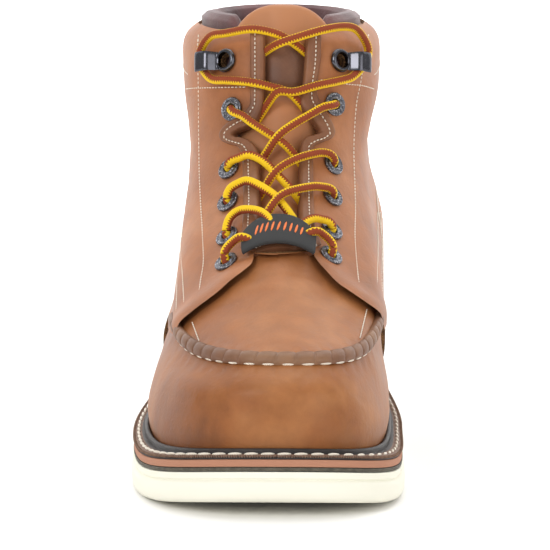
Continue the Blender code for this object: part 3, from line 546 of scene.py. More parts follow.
def rolled_skin(turn, up, out=0.0):
    """The same face with its collar edge turned in, as on the sewn boot."""
    turned = min(max((up - COLLAR_ROLL_START) / (COLLAR_RING - COLLAR_ROLL_START), 0.0), 1.0)
    return skin(turn, up, out - COLLAR_ROLL * turned ** 2.6)


@functools.lru_cache(maxsize=None)
def skin_tree(out=0.0):
    """A ray tree of the outer face, moved out by a distance."""
    points, normals = skin_table()
    verts = [point + normal * out for row, lean in zip(points, normals) for point, normal in zip(row, lean)]
    faces = []
    for level in range(len(points) - 1):
        for column in range(SKIN_COLUMNS):
            nearby = (column + 1) % SKIN_COLUMNS
            first, second = level * SKIN_COLUMNS, (level + 1) * SKIN_COLUMNS
            faces.append((first + column, first + nearby, second + nearby, second + column))
    return BVHTree.FromPolygons(verts, faces)


def front_hit(x, z, out=0.0):
    """The leather's place and normal straight behind a point of the front view."""
    place, normal, _, _ = skin_tree(out).ray_cast(Vector((x, -1.0, z)), Vector((0.0, 1.0, 0.0)))
    if place is None:
        raise RuntimeError(f"nothing lies behind {x:.4f}, {z:.4f}")
    return place, (normal if normal.y < 0.0 else -normal)


def side_hit(side, y, z, out=0.0):
    """The leather's place and normal, seen from the lateral (-1) or medial (1) side."""
    place, normal, _, _ = skin_tree(out).ray_cast(Vector((side, y, z)), Vector((-side, 0.0, 0.0)))
    if place is None:
        raise RuntimeError(f"nothing lies beside {y:.4f}, {z:.4f}")
    return place, (normal if normal.x * side > 0.0 else -normal)


def camera_ray(px, py):
    """The ray through a pixel of the photograph."""
    turn = Matrix.Rotation(math.radians(CAMERA_AZIMUTH), 3, "Z")
    tilt = Matrix.Rotation(math.radians(90.0 + CAMERA_PITCH), 3, "X")
    half = PHOTO_SIZE / 2.0
    reach = CAMERA_LENS / SENSOR_WIDTH * PHOTO_SIZE
    return (turn @ tilt @ Vector((px - half, half - py, -reach))).normalized()


def photo_hit(px, py, out=0.0):
    """The leather's place and normal behind a pixel of the photograph."""
    place, normal, _, _ = skin_tree(out).ray_cast(Vector(CAMERA_PLACE), camera_ray(px, py))
    if place is None:
        raise RuntimeError(f"nothing lies behind pixel {px:.0f}, {py:.0f}")
    return place, (normal if normal.dot(camera_ray(px, py)) < 0.0 else -normal)


def resampled(points, spacing):
    """Evenly spaced places along a line of points, as place and direction."""
    lengths = [0.0]
    for first, second in zip(points, points[1:]):
        lengths.append(lengths[-1] + (second - first).length)
    count = max(int(round(lengths[-1] / spacing)), 1)
    found = []
    index = 0
    for i in range(count + 1):
        target = min(lengths[-1] * i / count, lengths[-1] - 1e-9)
        while index < len(lengths) - 2 and lengths[index + 1] < target:
            index += 1
        span = max(lengths[index + 1] - lengths[index], 1e-9)
        share = (target - lengths[index]) / span
        direction = (points[index + 1] - points[index]).normalized()
        found.append((points[index].lerp(points[index + 1], share), direction))
    return found


def flowing(points, steps=8):
    """A smooth line through a few places in space."""
    count = (len(points) - 1) * steps
    columns = [[point[axis] for point in points] for axis in range(3)]
    line = []
    for i in range(count + 1):
        knot = min(i // steps, len(points) - 2)
        share = i / steps - knot
        line.append(Vector([catmull(column, knot, share) for column in columns]))
    return line


def catmull(values, knot, share):
    before = values[max(knot - 1, 0)]
    start, end = values[knot], values[knot + 1]
    after = values[min(knot + 2, len(values) - 1)]
    slope_in, slope_out = (end - before) / 2.0, (after - start) / 2.0
    square, cube = share * share, share ** 3
    return ((2 * cube - 3 * square + 1) * start + (cube - 2 * square + share) * slope_in
            + (3 * square - 2 * cube) * end + (cube - square) * slope_out)


def add_stitch(bm, place, direction, normal, length, width, height, slant=0.0):
    """One stitch: a slim pillow of thread half sunk in the leather."""
    across = normal.cross(direction).normalized()
    lengthwise = (direction + across * slant).normalized()
    across = normal.cross(lengthwise).normalized()
    axes = Matrix((lengthwise * (length / 2), across * (width / 2), normal * height)).transposed().to_4x4()
    bmesh.ops.create_uvsphere(bm, u_segments=8, v_segments=6, radius=1.0,
                              matrix=Matrix.Translation(place) @ axes)


def sew(bm, line, spacing, share, width, height, slant=0.0):
    """A row of stitches along a line of (place, normal) pairs."""
    places = [place for place, _ in line]
    row = bmesh.new()
    for place, direction in resampled(places, spacing)[:-1]:
        nearest = min(line, key=lambda pair: (pair[0] - place).length_squared)
        centre = place + direction * (spacing / 2)
        add_stitch(row, centre, direction, nearest[1], spacing * share, width, height, slant)
    join_into(bm, row)


def facing_frame(side, reach, height):
    """Axes at a place on a facing: outwards from the throat, up along the shaft, and off the leather."""
    place, off = front_hit(throat_middle(height) + side * reach, height)
    outward = Vector((side, 0.0, 0.0))
    outward = (outward - off * outward.dot(off)).normalized()
    upward = (Vector((0.0, 0.0, 1.0)) - off * off.z)
    upward = (upward - outward * upward.dot(outward)).normalized()
    return place, outward, upward, off


def eyelet_height(stage, side):
    """The height of an eyelet, or of a stage between two, above the floor."""
    heights = EYELET_HEIGHTS + (HOOK_HEIGHT,)
    rise = MEDIAL_RISE if side > 0.0 else 0.0
    return height_at(smooth_value(heights, stage) + rise)


MIX_FACTOR, MIX_A, MIX_B, MIX_RESULT = 0, 6, 7, 2


def colour(code):
    """A linear colour from an sRGB hex value; a colour that is linear already stays as it is."""
    if not isinstance(code, str):
        return tuple(code)
    parts = [int(code[i:i + 2], 16) / 255.0 for i in (1, 3, 5)]
    linear = [part / 12.92 if part <= 0.04045 else ((part + 0.055) / 1.055) ** 2.4 for part in parts]
    return (*linear, 1.0)


def add(tree, kind, inputs=None, stops=None, **settings):
    """Adds a node: settings are its own, inputs are values or sockets, stops are a ramp's colours."""
    made = tree.nodes.new("ShaderNode" + kind)
    for name, value in settings.items():
        setattr(made, name, value)
    for name, value in (inputs or {}).items():
        socket = made.inputs[name]
        if isinstance(value, bpy.types.NodeSocket):
            tree.links.new(value, socket)
        else:
            socket.default_value = value
    if stops:
        ramp = made.color_ramp
        while len(ramp.elements) < len(stops):
            ramp.elements.new(0.5)
        for element, (place, shade) in zip(ramp.elements, stops):
            element.position = place
            element.color = shade if isinstance(shade, tuple) else (shade, shade, shade, 1.0)
    return made


def started(name):
    """A new material, its tree, its shader and its object coordinates."""
    made = bpy.data.materials.new(name)
    made.use_nodes = True
    tree = made.node_tree
    shader = tree.nodes["Principled BSDF"]
    coordinates = add(tree, "TexCoord")
    return tree, shader, coordinates.outputs["Object"]


def tan_leather(name, dark, base, light, grain_depth=0.00010, gloss=0.46):
    """Oiled pull-up cowhide: waxy, cloudy colour with random lighter scuffs, and a fine grain."""
    tree, shader, place = started(name)
    cloud = add(tree, "TexNoise", {"Vector": place, "Scale": 17.0, "Detail": 3.0, "Roughness": 0.6,
                                   "Distortion": 0.4})
    body = add(tree, "ValToRGB", {"Fac": cloud.outputs["Fac"]},
               stops=((0.30, colour(dark)), (0.50, colour(base)), (0.70, colour(light))))
    mottle = add(tree, "TexNoise", {"Vector": place, "Scale": 120.0, "Detail": 5.0, "Roughness": 0.65})
    darker = add(tree, "ValToRGB", {"Fac": mottle.outputs["Fac"]}, stops=((0.35, 0.80), (0.65, 1.0)))
    mixed = add(tree, "Mix", {MIX_FACTOR: 0.8, MIX_A: body.outputs["Color"],
                              MIX_B: darker.outputs["Color"]},
                data_type="RGBA", blend_type="MULTIPLY")
    scuff = add(tree, "TexNoise", {"Vector": place, "Scale": 46.0, "Detail": 7.0, "Roughness": 0.8,
                                   "Distortion": 2.4})
    worn = add(tree, "ValToRGB", {"Fac": scuff.outputs["Fac"]}, stops=((0.60, 0.0), (0.78, 0.55)))
    scuffed = add(tree, "Mix", {MIX_FACTOR: worn.outputs["Color"], MIX_A: mixed.outputs[MIX_RESULT],
                                MIX_B: colour(light)}, data_type="RGBA")
    tree.links.new(scuffed.outputs[MIX_RESULT], shader.inputs["Base Color"])
    rough = add(tree, "MapRange", {"Value": mottle.outputs["Fac"], "To Min": gloss - 0.08,
                                   "To Max": gloss + 0.12})
    tree.links.new(rough.outputs["Result"], shader.inputs["Roughness"])
    grain = add(tree, "TexVoronoi", {"Vector": place, "Scale": 900.0}, feature="SMOOTH_F1")
    pores = add(tree, "Bump", {"Height": grain.outputs["Distance"], "Strength": 0.55,
                               "Distance": grain_depth})
    wrinkle = add(tree, "TexNoise", {"Vector": place, "Scale": 150.0, "Detail": 6.0, "Roughness": 0.6,
                                     "Distortion": 0.8})
    folds = add(tree, "Bump", {"Height": wrinkle.outputs["Fac"], "Strength": 0.4, "Distance": 0.0006,
                               "Normal": pores.outputs["Normal"]})
    tree.links.new(folds.outputs["Normal"], shader.inputs["Normal"])
    shader.inputs["Specular IOR Level"].default_value = 0.34


def tone_between(tree, shader, factor, dark, light, low=0.3, high=0.7):
    """Colours a shader along a factor, from a dark colour to a light one."""
    tone = add(tree, "ValToRGB", {"Fac": factor}, stops=((low, colour(dark)), (high, colour(light))))
    tree.links.new(tone.outputs["Color"], shader.inputs["Base Color"])


def relief(tree, shader, height, strength, distance):
    """Gives a shader a fine relief."""
    bump = add(tree, "Bump", {"Height": height, "Strength": strength, "Distance": distance})
    tree.links.new(bump.outputs["Normal"], shader.inputs["Normal"])


def raw_edge(name, dark, light):
    """Raw cut leather edge: fibrous, dry and a little darker than the face."""
    tree, shader, place = started(name)
    fibre = add(tree, "TexNoise", {"Vector": place, "Scale": 900.0, "Detail": 4.0})
    tone_between(tree, shader, fibre.outputs["Fac"], dark, light, 0.35, 0.65)
    relief(tree, shader, fibre.outputs["Fac"], 0.5, 0.0003)
    shader.inputs["Roughness"].default_value = 0.85


def brushed_lining(name, dark, light):
    """Brushed synthetic lining: a soft short nap, matt, lighter at grazing angles."""
    tree, shader, place = started(name)
    nap = add(tree, "TexNoise", {"Vector": place, "Scale": 700.0, "Detail": 4.0, "Roughness": 0.7})
    cloud = add(tree, "TexNoise", {"Vector": place, "Scale": 40.0, "Detail": 2.0})
    tone_between(tree, shader, cloud.outputs["Fac"], dark, light)
    relief(tree, shader, nap.outputs["Fac"], 0.6, 0.0004)
    shader.inputs["Roughness"].default_value = 0.9
    shader.inputs["Sheen Weight"].default_value = 0.4


def foamed_rubber(name, dark, light):
    """Foamed cream rubber: matt, faintly pitted, with soft yellowed clouds."""
    tree, shader, place = started(name)
    cloud = add(tree, "TexNoise", {"Vector": place, "Scale": 30.0, "Detail": 4.0, "Roughness": 0.6})
    pits = add(tree, "TexNoise", {"Vector": place, "Scale": 1100.0, "Detail": 3.0})
    tone_between(tree, shader, cloud.outputs["Fac"], dark, light)
    relief(tree, shader, pits.outputs["Fac"], 0.35, 0.0002)
    shader.inputs["Roughness"].default_value = 0.62
    shader.inputs["Subsurface Weight"].default_value = 0.05
    shader.inputs["Subsurface Scale"].default_value = 0.002


def cut_board(name, dark, light, scale=500.0, roughness=0.7):
    """Pressed midsole board or dyed edge: a sawn, speckled surface with fine lengthwise lines."""
    tree, shader, place = started(name)
    speck = add(tree, "TexNoise", {"Vector": place, "Scale": scale, "Detail": 5.0, "Roughness": 0.7})
    lines = add(tree, "TexWave", {"Vector": place, "Scale": 500.0, "Distortion": 1.5, "Detail": 2.0},
                bands_direction="Z")
    tone_between(tree, shader, speck.outputs["Fac"], dark, light, 0.35, 0.65)
    relief(tree, shader, lines.outputs["Fac"], 0.3, 0.0002)
    shader.inputs["Roughness"].default_value = roughness


def waxed_thread(name, dark, light):
    """Waxed polyester thread: pale, twisted, with a slight shine."""
    tree, shader, place = started(name)
    twist = add(tree, "TexWave", {"Vector": place, "Scale": 900.0, "Distortion": 0.5},
                bands_direction="DIAGONAL")
    tone_between(tree, shader, twist.outputs["Fac"], dark, light, 0.1, 0.6)
    relief(tree, shader, twist.outputs["Fac"], 0.4, 0.0002)
    shader.inputs["Roughness"].default_value = 0.55


def gunmetal(name):
    """Speckled gunmetal plating: dark steel with a hammered sparkle."""
    tree, shader, place = started(name)
    speck = add(tree, "TexVoronoi", {"Vector": place, "Scale": 1300.0})
    tone = add(tree, "ValToRGB", {"Fac": speck.outputs["Distance"]},
               stops=((0.10, colour("#F0F0F2")), (0.28, colour("#7A7A80")), (0.8, colour("#4A4A50"))))
    tree.links.new(tone.outputs["Color"], shader.inputs["Base Color"])
    relief(tree, shader, speck.outputs["Distance"], 0.5, 0.0002)
    shader.inputs["Metallic"].default_value = 0.9
    shader.inputs["Roughness"].default_value = 0.36


def black_nickel(name):
    """Black nickel plate: near black, glossy, with faint smears."""
    tree, shader, place = started(name)
    smear = add(tree, "TexNoise", {"Vector": place, "Scale": 260.0, "Detail": 4.0})
    rough = add(tree, "MapRange", {"Value": smear.outputs["Fac"], "To Min": 0.10, "To Max": 0.30})
    tree.links.new(rough.outputs["Result"], shader.inputs["Roughness"])
    shader.inputs["Base Color"].default_value = colour("#5A5A60")
    shader.inputs["Metallic"].default_value = 1.0


def moulded_rubber(name, code):
    """Moulded silicone rubber: satin, finely textured."""
    tree, shader, place = started(name)
    spark = add(tree, "TexNoise", {"Vector": place, "Scale": 1500.0, "Detail": 2.0})
    relief(tree, shader, spark.outputs["Fac"], 0.25, 0.0002)
    shader.inputs["Base Color"].default_value = colour(code)
    shader.inputs["Roughness"].default_value = 0.5


def braided_lace(name, bright_yellow, bright_rust):
    """Round braided lace: yellow yarn on one side and rust on the other, meeting in a sawtooth."""
    tree, shader, _ = started(name)
    pattern = add(tree, "UVMap", uv_map="UVMap")
    parts = add(tree, "SeparateXYZ", {"Vector": pattern.outputs["UV"]})
    turn, run = parts.outputs["X"], parts.outputs["Y"]
    tooth = add(tree, "Math", {0: run, 1: 0.00065}, operation="PINGPONG")
    raised = add(tree, "Math", {0: tooth.outputs[0], 1: 150.0}, operation="MULTIPLY")
    half = add(tree, "Math", {0: turn, 1: 0.5}, operation="PINGPONG")
    edge = add(tree, "Math", {0: half.outputs[0], 1: raised.outputs[0]}, operation="ADD")
    side = add(tree, "Math", {0: edge.outputs[0], 1: 0.185}, operation="GREATER_THAN")
    yarn = add(tree, "TexNoise", {"Vector": pattern.outputs["UV"], "Scale": 900.0, "Detail": 2.0})
    yellow = add(tree, "ValToRGB", {"Fac": yarn.outputs["Fac"]},
                 stops=((0.3, colour("#D8A60E")), (0.7, colour(bright_yellow))))
    rust = add(tree, "ValToRGB", {"Fac": yarn.outputs["Fac"]},
               stops=((0.3, colour("#6E2C14")), (0.7, colour(bright_rust))))
    both = add(tree, "Mix", {MIX_FACTOR: side.outputs[0], MIX_A: rust.outputs["Color"],
                             MIX_B: yellow.outputs["Color"]}, data_type="RGBA")
    tree.links.new(both.outputs[MIX_RESULT], shader.inputs["Base Color"])
    shader.inputs["Roughness"].default_value = 0.75
    shader.inputs["Specular IOR Level"].default_value = 0.3
    relief(tree, shader, yarn.outputs["Fac"], 0.4, 0.0003)


def studio_paper(name):
    """White studio paper: matt and even."""
    tree, shader, place = started(name)
    fibre = add(tree, "TexNoise", {"Vector": place, "Scale": 900.0})
    relief(tree, shader, fibre.outputs["Fac"], 0.02, 0.0001)
    shader.inputs["Base Color"].default_value = colour("#F7F6F4")
    shader.inputs["Roughness"].default_value = 0.8


def lit_backdrop(name):
    """A white backdrop lit from behind: an even glow."""
    _, shader, _ = started(name)
    shader.inputs["Base Color"].default_value = colour("#FFFFFF")
    shader.inputs["Emission Color"].default_value = (1.0, 1.0, 1.0, 1.0)
    shader.inputs["Emission Strength"].default_value = 0.75


def make_materials():
    """Every finish of the boot and of the studio; the user's colours come from the panel."""
    chosen = bpy.context.scene.boot_sizes
    tan_leather("vamp_leather", "#855030", chosen.vamp_colour, "#B47A4E")
    # Darker copy of the vamp leather for the toe wall: painted shade, since the wall faces the light less
    # than the plug.
    tan_leather("toe_leather_painted_shade", "#7C4824", chosen.toe_shade_colour, "#A96F40")
    tan_leather("shaft_leather", "#8C5632", chosen.shaft_colour, "#B87E56")
    tan_leather("roll_leather", "#684530", "#7E5840", "#947052", 0.00008)
    tan_leather("strip_leather", "#6E4630", "#86583C", "#9E7252", 0.00008)
    tan_leather("tongue_leather", "#8A4F26", "#A26030", "#B67A4C")
    tan_leather("tongue_panel", "#5A3A2A", "#704A36", "#825C46")
    raw_edge("leather_edge", "#4A2F1A", "#8E683C")
    brushed_lining("mauve_lining", "#4C2E30", "#744E4E")
    # Lining under the facings, coloured near black: painted shade for the dark gap beneath their raised
    # edges.
    brushed_lining("lining_painted_shade", "#241F20", "#3A3334")
    brushed_lining("footbed_cloth", "#4A3B36", "#6A5850")
    foamed_rubber("cream_rubber", "#E6DFC0", chosen.sole_colour)
    # Darker, greyer cream for groove faces: painted shade in the recesses.
    foamed_rubber("groove_rubber_painted_shade", "#C9C6A8", "#DAD6BC")
    cut_board("dark_layer", "#3E3A30", "#5E584A", 400.0)
    cut_board("rust_midsole", "#9A5E40", "#C08A66")
    cut_board("knurled_welt", "#5A4234", "#8A6C58", 700.0)
    # Near-black bead colour; on the groove ledge beside the bead it is painted shade.
    cut_board("bead_colour_and_groove_shade", "#181210", "#2E2420", 300.0, 0.55)
    waxed_thread("cream_thread", "#CFC0A8", chosen.thread_colour)
    gunmetal("speckled_gunmetal")
    black_nickel("black_nickel")
    moulded_rubber("black_rubber", chosen.keeper_colour)
    moulded_rubber("orange_rubber", "#E8722A")
    braided_lace("braided_lace", chosen.lace_yellow, chosen.lace_rust)
    studio_paper("studio_paper")
    lit_backdrop("lit_backdrop")


# Where the columns and rows of the leather sheets are closest: the toe and the vamp
FRONT_DENSITY = 0.55
VAMP_SHARE = 0.72
VAMP_TOP = 7.0

# Lines followed from the photograph, in its pixels, from the collar down
STRIP_LATERAL = (
    ((263, 28), (250, 28)), ((263, 62), (250, 62)), ((262.5, 97), (250, 97)), ((260.6, 107), (249, 106)),
    ((254, 120), (239, 116.5)), ((246, 126), (229, 122)), ((237, 129.5), (222.5, 128.5)),
    ((231.5, 134), (219.8, 135)), ((235, 137.5), (221.5, 140.5)), ((242, 138.5), (228.6, 144)),
    ((249, 141.5), (237, 146.5)), ((254, 147), (241, 151.5)), ((257, 156), (242.3, 158.5)),
    ((257.4, 175), (243, 176)), ((257.5, 205), (243.5, 205)), ((256.5, 230), (242, 230)),
    ((254.5, 252), (240.5, 249)),
)
STRIP_MEDIAL = (
    ((308, 30), (321, 32)), ((307, 60), (320.5, 60)), ((304.5, 86), (317, 84)), ((302, 98), (318, 97)),
    ((304, 107), (322, 105)), ((311, 116), (328, 115)), ((318, 125), (333, 125)),
    ((321.5, 132), (334.5, 133)),
    ((314, 136), (331, 139)), ((307, 138), (322, 142.5)), ((303, 143), (314.5, 146)),
    ((302, 151), (313, 152)),
    ((301.5, 175), (313, 175)), ((302, 210), (313.5, 210)), ((304, 232), (315.5, 230)),
    ((310, 250), (321, 245)),
)
EDGE_LATERAL = ((254, 253), (252, 262), (243.3, 269.6), (231.3, 278.6), (217.7, 290.7), (205.7, 299.7),
                (192, 310),
                (181.6, 319), (176.3, 328), (173.5, 334))
EDGE_MEDIAL = ((312, 251), (317, 259), (327.7, 271), (338.2, 281.6), (351.7, 290.7), (366.8, 301),
               (378.9, 308.7),
               (385, 313.5), (388.5, 321))
FOOT_BAND = ((255, 257), (266, 252.5), (284, 250), (301, 252.5), (311, 257))
COUNTER_ROWS_LATERAL = (((179, 228), (178.4, 250), (177.4, 275), (176.6, 300), (176, 320)),
                        ((180.8, 228), (181, 250), (183, 284.6), (183.8, 302.7), (182.6, 314)))
COUNTER_ROWS_MEDIAL = (((377.5, 212), (378, 250), (377.3, 269.6), (376.6, 292)),
                       ((380.5, 212), (382, 250), (381.6, 272.6), (382.4, 298)))
FACING_ROW_LATERAL = ((198.6, 34), (197.5, 50), (198.4, 80), (199, 150), (200, 190), (202.8, 240),
                      (203.3, 262),
                      (200.6, 280), (198.3, 295), (193, 307))
FACING_ROW_MEDIAL = ((368.7, 34), (365, 52), (361, 80), (357, 100), (355, 120), (353.7, 150), (355, 190),
                     (355.4, 210), (355, 240), (358, 275), (360.8, 292), (367.8, 298))
COLLAR_ROW_LATERAL = ((186, 89), (199, 88), (246, 87))
COLLAR_ROW_MEDIAL = ((374, 89), (361.8, 85.5), (346.5, 84), (320, 80))
COLLAR_ROW_UP = 9.55
COLLAR_ROW_START = 0.20
COLLAR_ROW_STEPS = 120
PLUG_ROW_LATERAL = ((192, 322), (199, 341))
PLUG_ROW_MEDIAL = ((367, 309), (360, 338))

# The quarter's lower edge along the side, behind what the photograph shows
EDGE_DEPTH = -0.012
BALL_PLACE = -0.045
THROAT_DEPTH = 0.065
CUT_FLOOR = -0.02
CUT_SPARE = 0.03
SIDE_EDGE = (Side(-0.015, 0.240), Side(0.020, 0.170), Side(0.060, 0.090), Side(0.100, 0.030))

# Creases and swells of the worn leather, in the photograph's pixels: a positive depth is a trough
Fold = namedtuple("Fold", "pixels depth width")
VAMP_FOLDS = (
    Fold(((226, 303), (252, 294), (285, 292), (318, 296), (343, 306)), 0.0005, 0.0045),
    Fold(((240, 281), (262, 272), (300, 272), (326, 282)), 0.0006, 0.0035),
    Fold(((205, 328), (240, 322), (285, 320), (325, 324), (356, 330)), -0.0006, 0.0070),
    Fold(((168, 372), (186, 384), (200, 404)), -0.0007, 0.0050),
    Fold(((296, 392), (303, 380), (309, 372)), 0.0004, 0.0025),
    Fold(((372, 366), (364, 384), (360, 404)), 0.0005, 0.0060),
)

# How far each cord's rust side is rolled from upwards towards the viewer, in degrees
LATERAL_ROLLS = {"keeper": 150.0, "first": 160.0, "second": 20.0, "third": 60.0, "top": 62.0, "bar": 110.0}
MEDIAL_ROLLS = {"keeper": 15.0, "first": 98.0, "second": 85.0, "third": 105.0, "top": 75.0, "bar": 95.0}
LACE_STEP = 0.00055


def sheet_turn(share):
    """Columns of a leather sheet, closest together at the toe."""
    return 0.5 * (FRONT_DENSITY * share + (1.0 - FRONT_DENSITY) * share * share)


def sheet_up(share, lowest):
    """Rows of a leather sheet, closest together over the vamp."""
    if share < VAMP_SHARE:
        return lowest + (VAMP_TOP - lowest) * share / VAMP_SHARE
    return VAMP_TOP + (COLLAR_RING - VAMP_TOP) * (share - VAMP_SHARE) / (1.0 - VAMP_SHARE)


def pixel_line(pixels, out, steps=8):
    """A line on the leather, as places and normals, through pixels of the photograph."""
    smooth = flowing([Vector((px, py, 0.0)) for px, py in pixels], steps)
    return [near_hit(point.x, point.y, out) for point in smooth]


def near_hit(px, py, out):
    """As photo_hit, but a pixel just off the leather's outline is brought back onto it."""
    for _ in range(16):
        if skin_tree(out).ray_cast(Vector(CAMERA_PLACE), camera_ray(px, py))[0] is not None:
            break
        px += 0.5 if px < PHOTO_MIDDLE else -0.5
    return photo_hit(px, py, out)


def press(obj, folds):
    """Presses soft troughs into a sheet, or raises ridges where the depth is negative."""
    count = len(obj.data.vertices)
    places = numpy.empty(count * 3)
    normals = numpy.empty(count * 3)
    obj.data.vertices.foreach_get("co", places)
    obj.data.vertex_normals.foreach_get("vector", normals)
    places, normals = places.reshape(-1, 3), normals.reshape(-1, 3)
    shift = numpy.zeros(count)
    for line, depth, width in folds:
        nearest = numpy.full(count, 1.0)
        fade = numpy.zeros(count)
        for index, (first, second) in enumerate(zip(line, line[1:])):
            start, run = numpy.array(first), numpy.array(second - first)
            share = numpy.clip((places - start) @ run / (run @ run), 0.0, 1.0)
            gap = numpy.linalg.norm(places - start - share[:, None] * run, axis=1)
            whole = (index + share) / (len(line) - 1)
            closer = gap < nearest
            fade = numpy.where(closer, 1.0 - numpy.abs(2.0 * whole - 1.0) ** 4, fade)
            nearest = numpy.minimum(nearest, gap)
        shift -= depth * fade * numpy.exp(-((nearest / width) ** 2))
    places += normals * shift[:, None]
    obj.data.vertices.foreach_set("co", places.ravel())
    obj.data.update()


def swell(obj, size, depth, seed):
    """Gives a sheet the soft unevenness of hand-lasted leather."""
    offset = Vector((seed, seed * 0.7, seed * 1.3))
    normals = [Vector(item.vector) for item in obj.data.vertex_normals]
    for vertex, normal in zip(obj.data.vertices, normals):
        vertex.co += normal * (depth * noise.noise(vertex.co / size + offset))
    obj.data.update()


def quarter_front(height):
    """How far back the quarter's front edge lies at a height."""
    line = side_line(QUARTER_FRONT)
    for upper, lower in zip(line, line[1:]):
        if lower[1] <= height <= upper[1]:
            share = (height - lower[1]) / (upper[1] - lower[1])
            return lower[0] + (upper[0] - lower[0]) * share
    return line[0][0] if height > line[0][1] else line[-1][0]


def side_line(edges, shift=0.0, steps=6):
    points = [(edge.along * UPPER_LENGTH + shift, height_at(edge.height)) for edge in edges]
    return curve_through(points, steps)


@functools.lru_cache(maxsize=1)
def seam_stations():
    """Turns along the moc seam and the length of the seam up to each, between the two quarters."""
    turns = []
    lengths = []
    before = None
    for i in range(-SEAM_STEPS, SEAM_STEPS + 1):
        turn = 0.25 * i / SEAM_STEPS
        place = skin(turn, SEAM_RING)
        if place.y > quarter_front(place.z) - CLEARANCE * 2.0:
            continue
        lengths.append(0.0 if before is None else lengths[-1] + (place - before).length)
        turns.append(turn)
        before = place
    return turns, lengths


def seam_turn(length):
    turns, lengths = seam_stations()
    return float(numpy.interp(length, lengths, turns))


def pucker_marks(spacing):
    """Lengths along the seam where the plug is gathered, evenly about the toe."""
    total = seam_stations()[1][-1]
    count = int(total / 2.0 / spacing)
    return [total / 2.0 + (i + 0.1) * spacing for i in range(-count, count)]


UPPER_FINISHES = ("vamp_leather", "mauve_lining", "leather_edge", "toe_leather_painted_shade")
TOE_SHADE_FINISH = UPPER_FINISHES.index("toe_leather_painted_shade")


def make_upper():
    """The upper: toe wall, plug and the hidden leather under the overlays, with its lining."""
    sizes = bpy.context.scene.boot_sizes

    def place_at(u, v):
        turn = sheet_turn(2.0 * u) if u < 0.5 else 1.0 - sheet_turn(2.0 - 2.0 * u)
        return rolled_skin(turn, sheet_up(v, 0.0))

    bm = sheet(250, 156, place_at, wrap_columns=True, flip=True)
    seam_heights = [skin(turn, SEAM_RING) for turn in seam_stations()[0]]
    seam_top = max(place.z for place in seam_heights)
    # Faces of the toe wall below the moc seam take the darker toe leather, painted shade for the lower wall.
    for face in bm.faces:
        place = face.calc_center_median()
        if place.z >= seam_top:
            continue
        if place.z < min(seam_heights, key=lambda spot: (spot - place).length_squared).z:
            face.material_index = TOE_SHADE_FINISH
    upper = piece_from(bm, "leather_upper", UPPER_FINISHES, ("upper",))
    folds = [(([place for place, _ in pixel_line(fold.pixels, 0.0, 4)]), fold.depth, fold.width)
             for fold in VAMP_FOLDS]
    for mark in pucker_marks(sizes.pucker_spacing):
        turn = seam_turn(mark)
        above = [skin(turn, SEAM_RING + rise) for rise in (0.15, 0.40, 0.75)]
        below = [skin(turn, SEAM_RING - rise) for rise in (0.12, 0.28, 0.45)]
        folds.append((above, 0.0003, 0.0013))
        folds.append((below, 0.0004, 0.0012))
    swell(upper, 0.022, 0.0005, 3.0)
    press(upper, folds)
    thicken(upper, UPPER_WALL, inner_material=1, rim_material=2)
    return upper


def make_seam_roll():
    """The roll where the plug is gathered to the toe wall, and the stitches under it."""
    sizes = bpy.context.scene.boot_sizes
    total = seam_stations()[1][-1]
    marks = pucker_marks(sizes.pucker_spacing)
    spread = SEAM_HALF_WIDTH / (0.115 * SHAFT_HEIGHT)

    def place_at(u, v):
        length = u * total
        angle = 2.0 * math.pi * v
        bend = math.cos(angle)
        leaning = length + 0.0006 * bend
        nearest = min(abs(leaning - mark) for mark in marks)
        crease = math.exp(-((nearest / 0.00055) ** 2)) * (0.75 - 0.25 * bend)
        belly = 1.0 - 0.10 * math.exp(-((nearest / 0.0022) ** 2))
        rise = SEAM_RING + spread * (SEAM_MIDDLE + SEAM_REACH * bend)
        dome = math.sin(angle)
        height = 0.0006 * dome
        if dome > 0.0:
            height = SEAM_PROUD * belly * (1.0 - 0.24 * crease) * dome ** 0.7
        return skin(seam_turn(length), rise, CLEARANCE + height)

    bm = close_ends(sheet(900, 22, place_at, wrap_rows=True))
    piece_from(bm, "seam_roll", ("roll_leather",), ("moc_seam",))
    bm = bmesh.new()
    low = SEAM_RING + spread * (SEAM_MIDDLE - SEAM_REACH * 0.86)
    for first, second in zip(marks, marks[1:]):
        turns = [seam_turn(first + (second - first) * share) for share in (0.2, 0.5, 0.8)]
        start, middle, end = (skin(turn, low, 0.0006) for turn in turns)
        normal = (skin(turns[1], low, 0.001) - skin(turns[1], low)).normalized()
        direction = (end - start).normalized()
        add_stitch(bm, middle, direction, normal, (second - first) * 0.92, 0.0015, 0.0008, -0.06)
    for row in (PLUG_ROW_LATERAL, PLUG_ROW_MEDIAL):
        sew(bm, pixel_line(row, 0.0003), sizes.stitch_pitch, 0.8, sizes.thread_width, 0.0003)
    piece_from(bm, "seam_stitches", ("cream_thread",))


def overlay_sheet(name, turn_at, columns, flip, nodes, cutters, keep=None, edge=()):
    """A leather overlay: a wall over the upper, cut along its edges."""
    bm = sheet(columns, 150, lambda u, v: rolled_skin(turn_at(u), sheet_up(v, 0.5), FACING_TOP), flip=flip)
    # The underside takes the near-black lining, painted shade in the gap under the raised edge.
    wall = piece_from(bm, name, ("shaft_leather", "lining_painted_shade", "leather_edge"), nodes)
    swell(wall, 0.030, 0.0004, 9.0)
    if edge:
        raised = [place for place, _ in pixel_line(edge, FACING_TOP, 4)]
        press(wall, [(raised, -EDGE_LIFT, 0.0085)])
    thicken(wall, OVERLAY_THICKNESS, inner_material=1, rim_material=2)
    cut(wall, cutters)
    if keep:
        cut(wall, (keep,), "INTERSECT")
    return wall


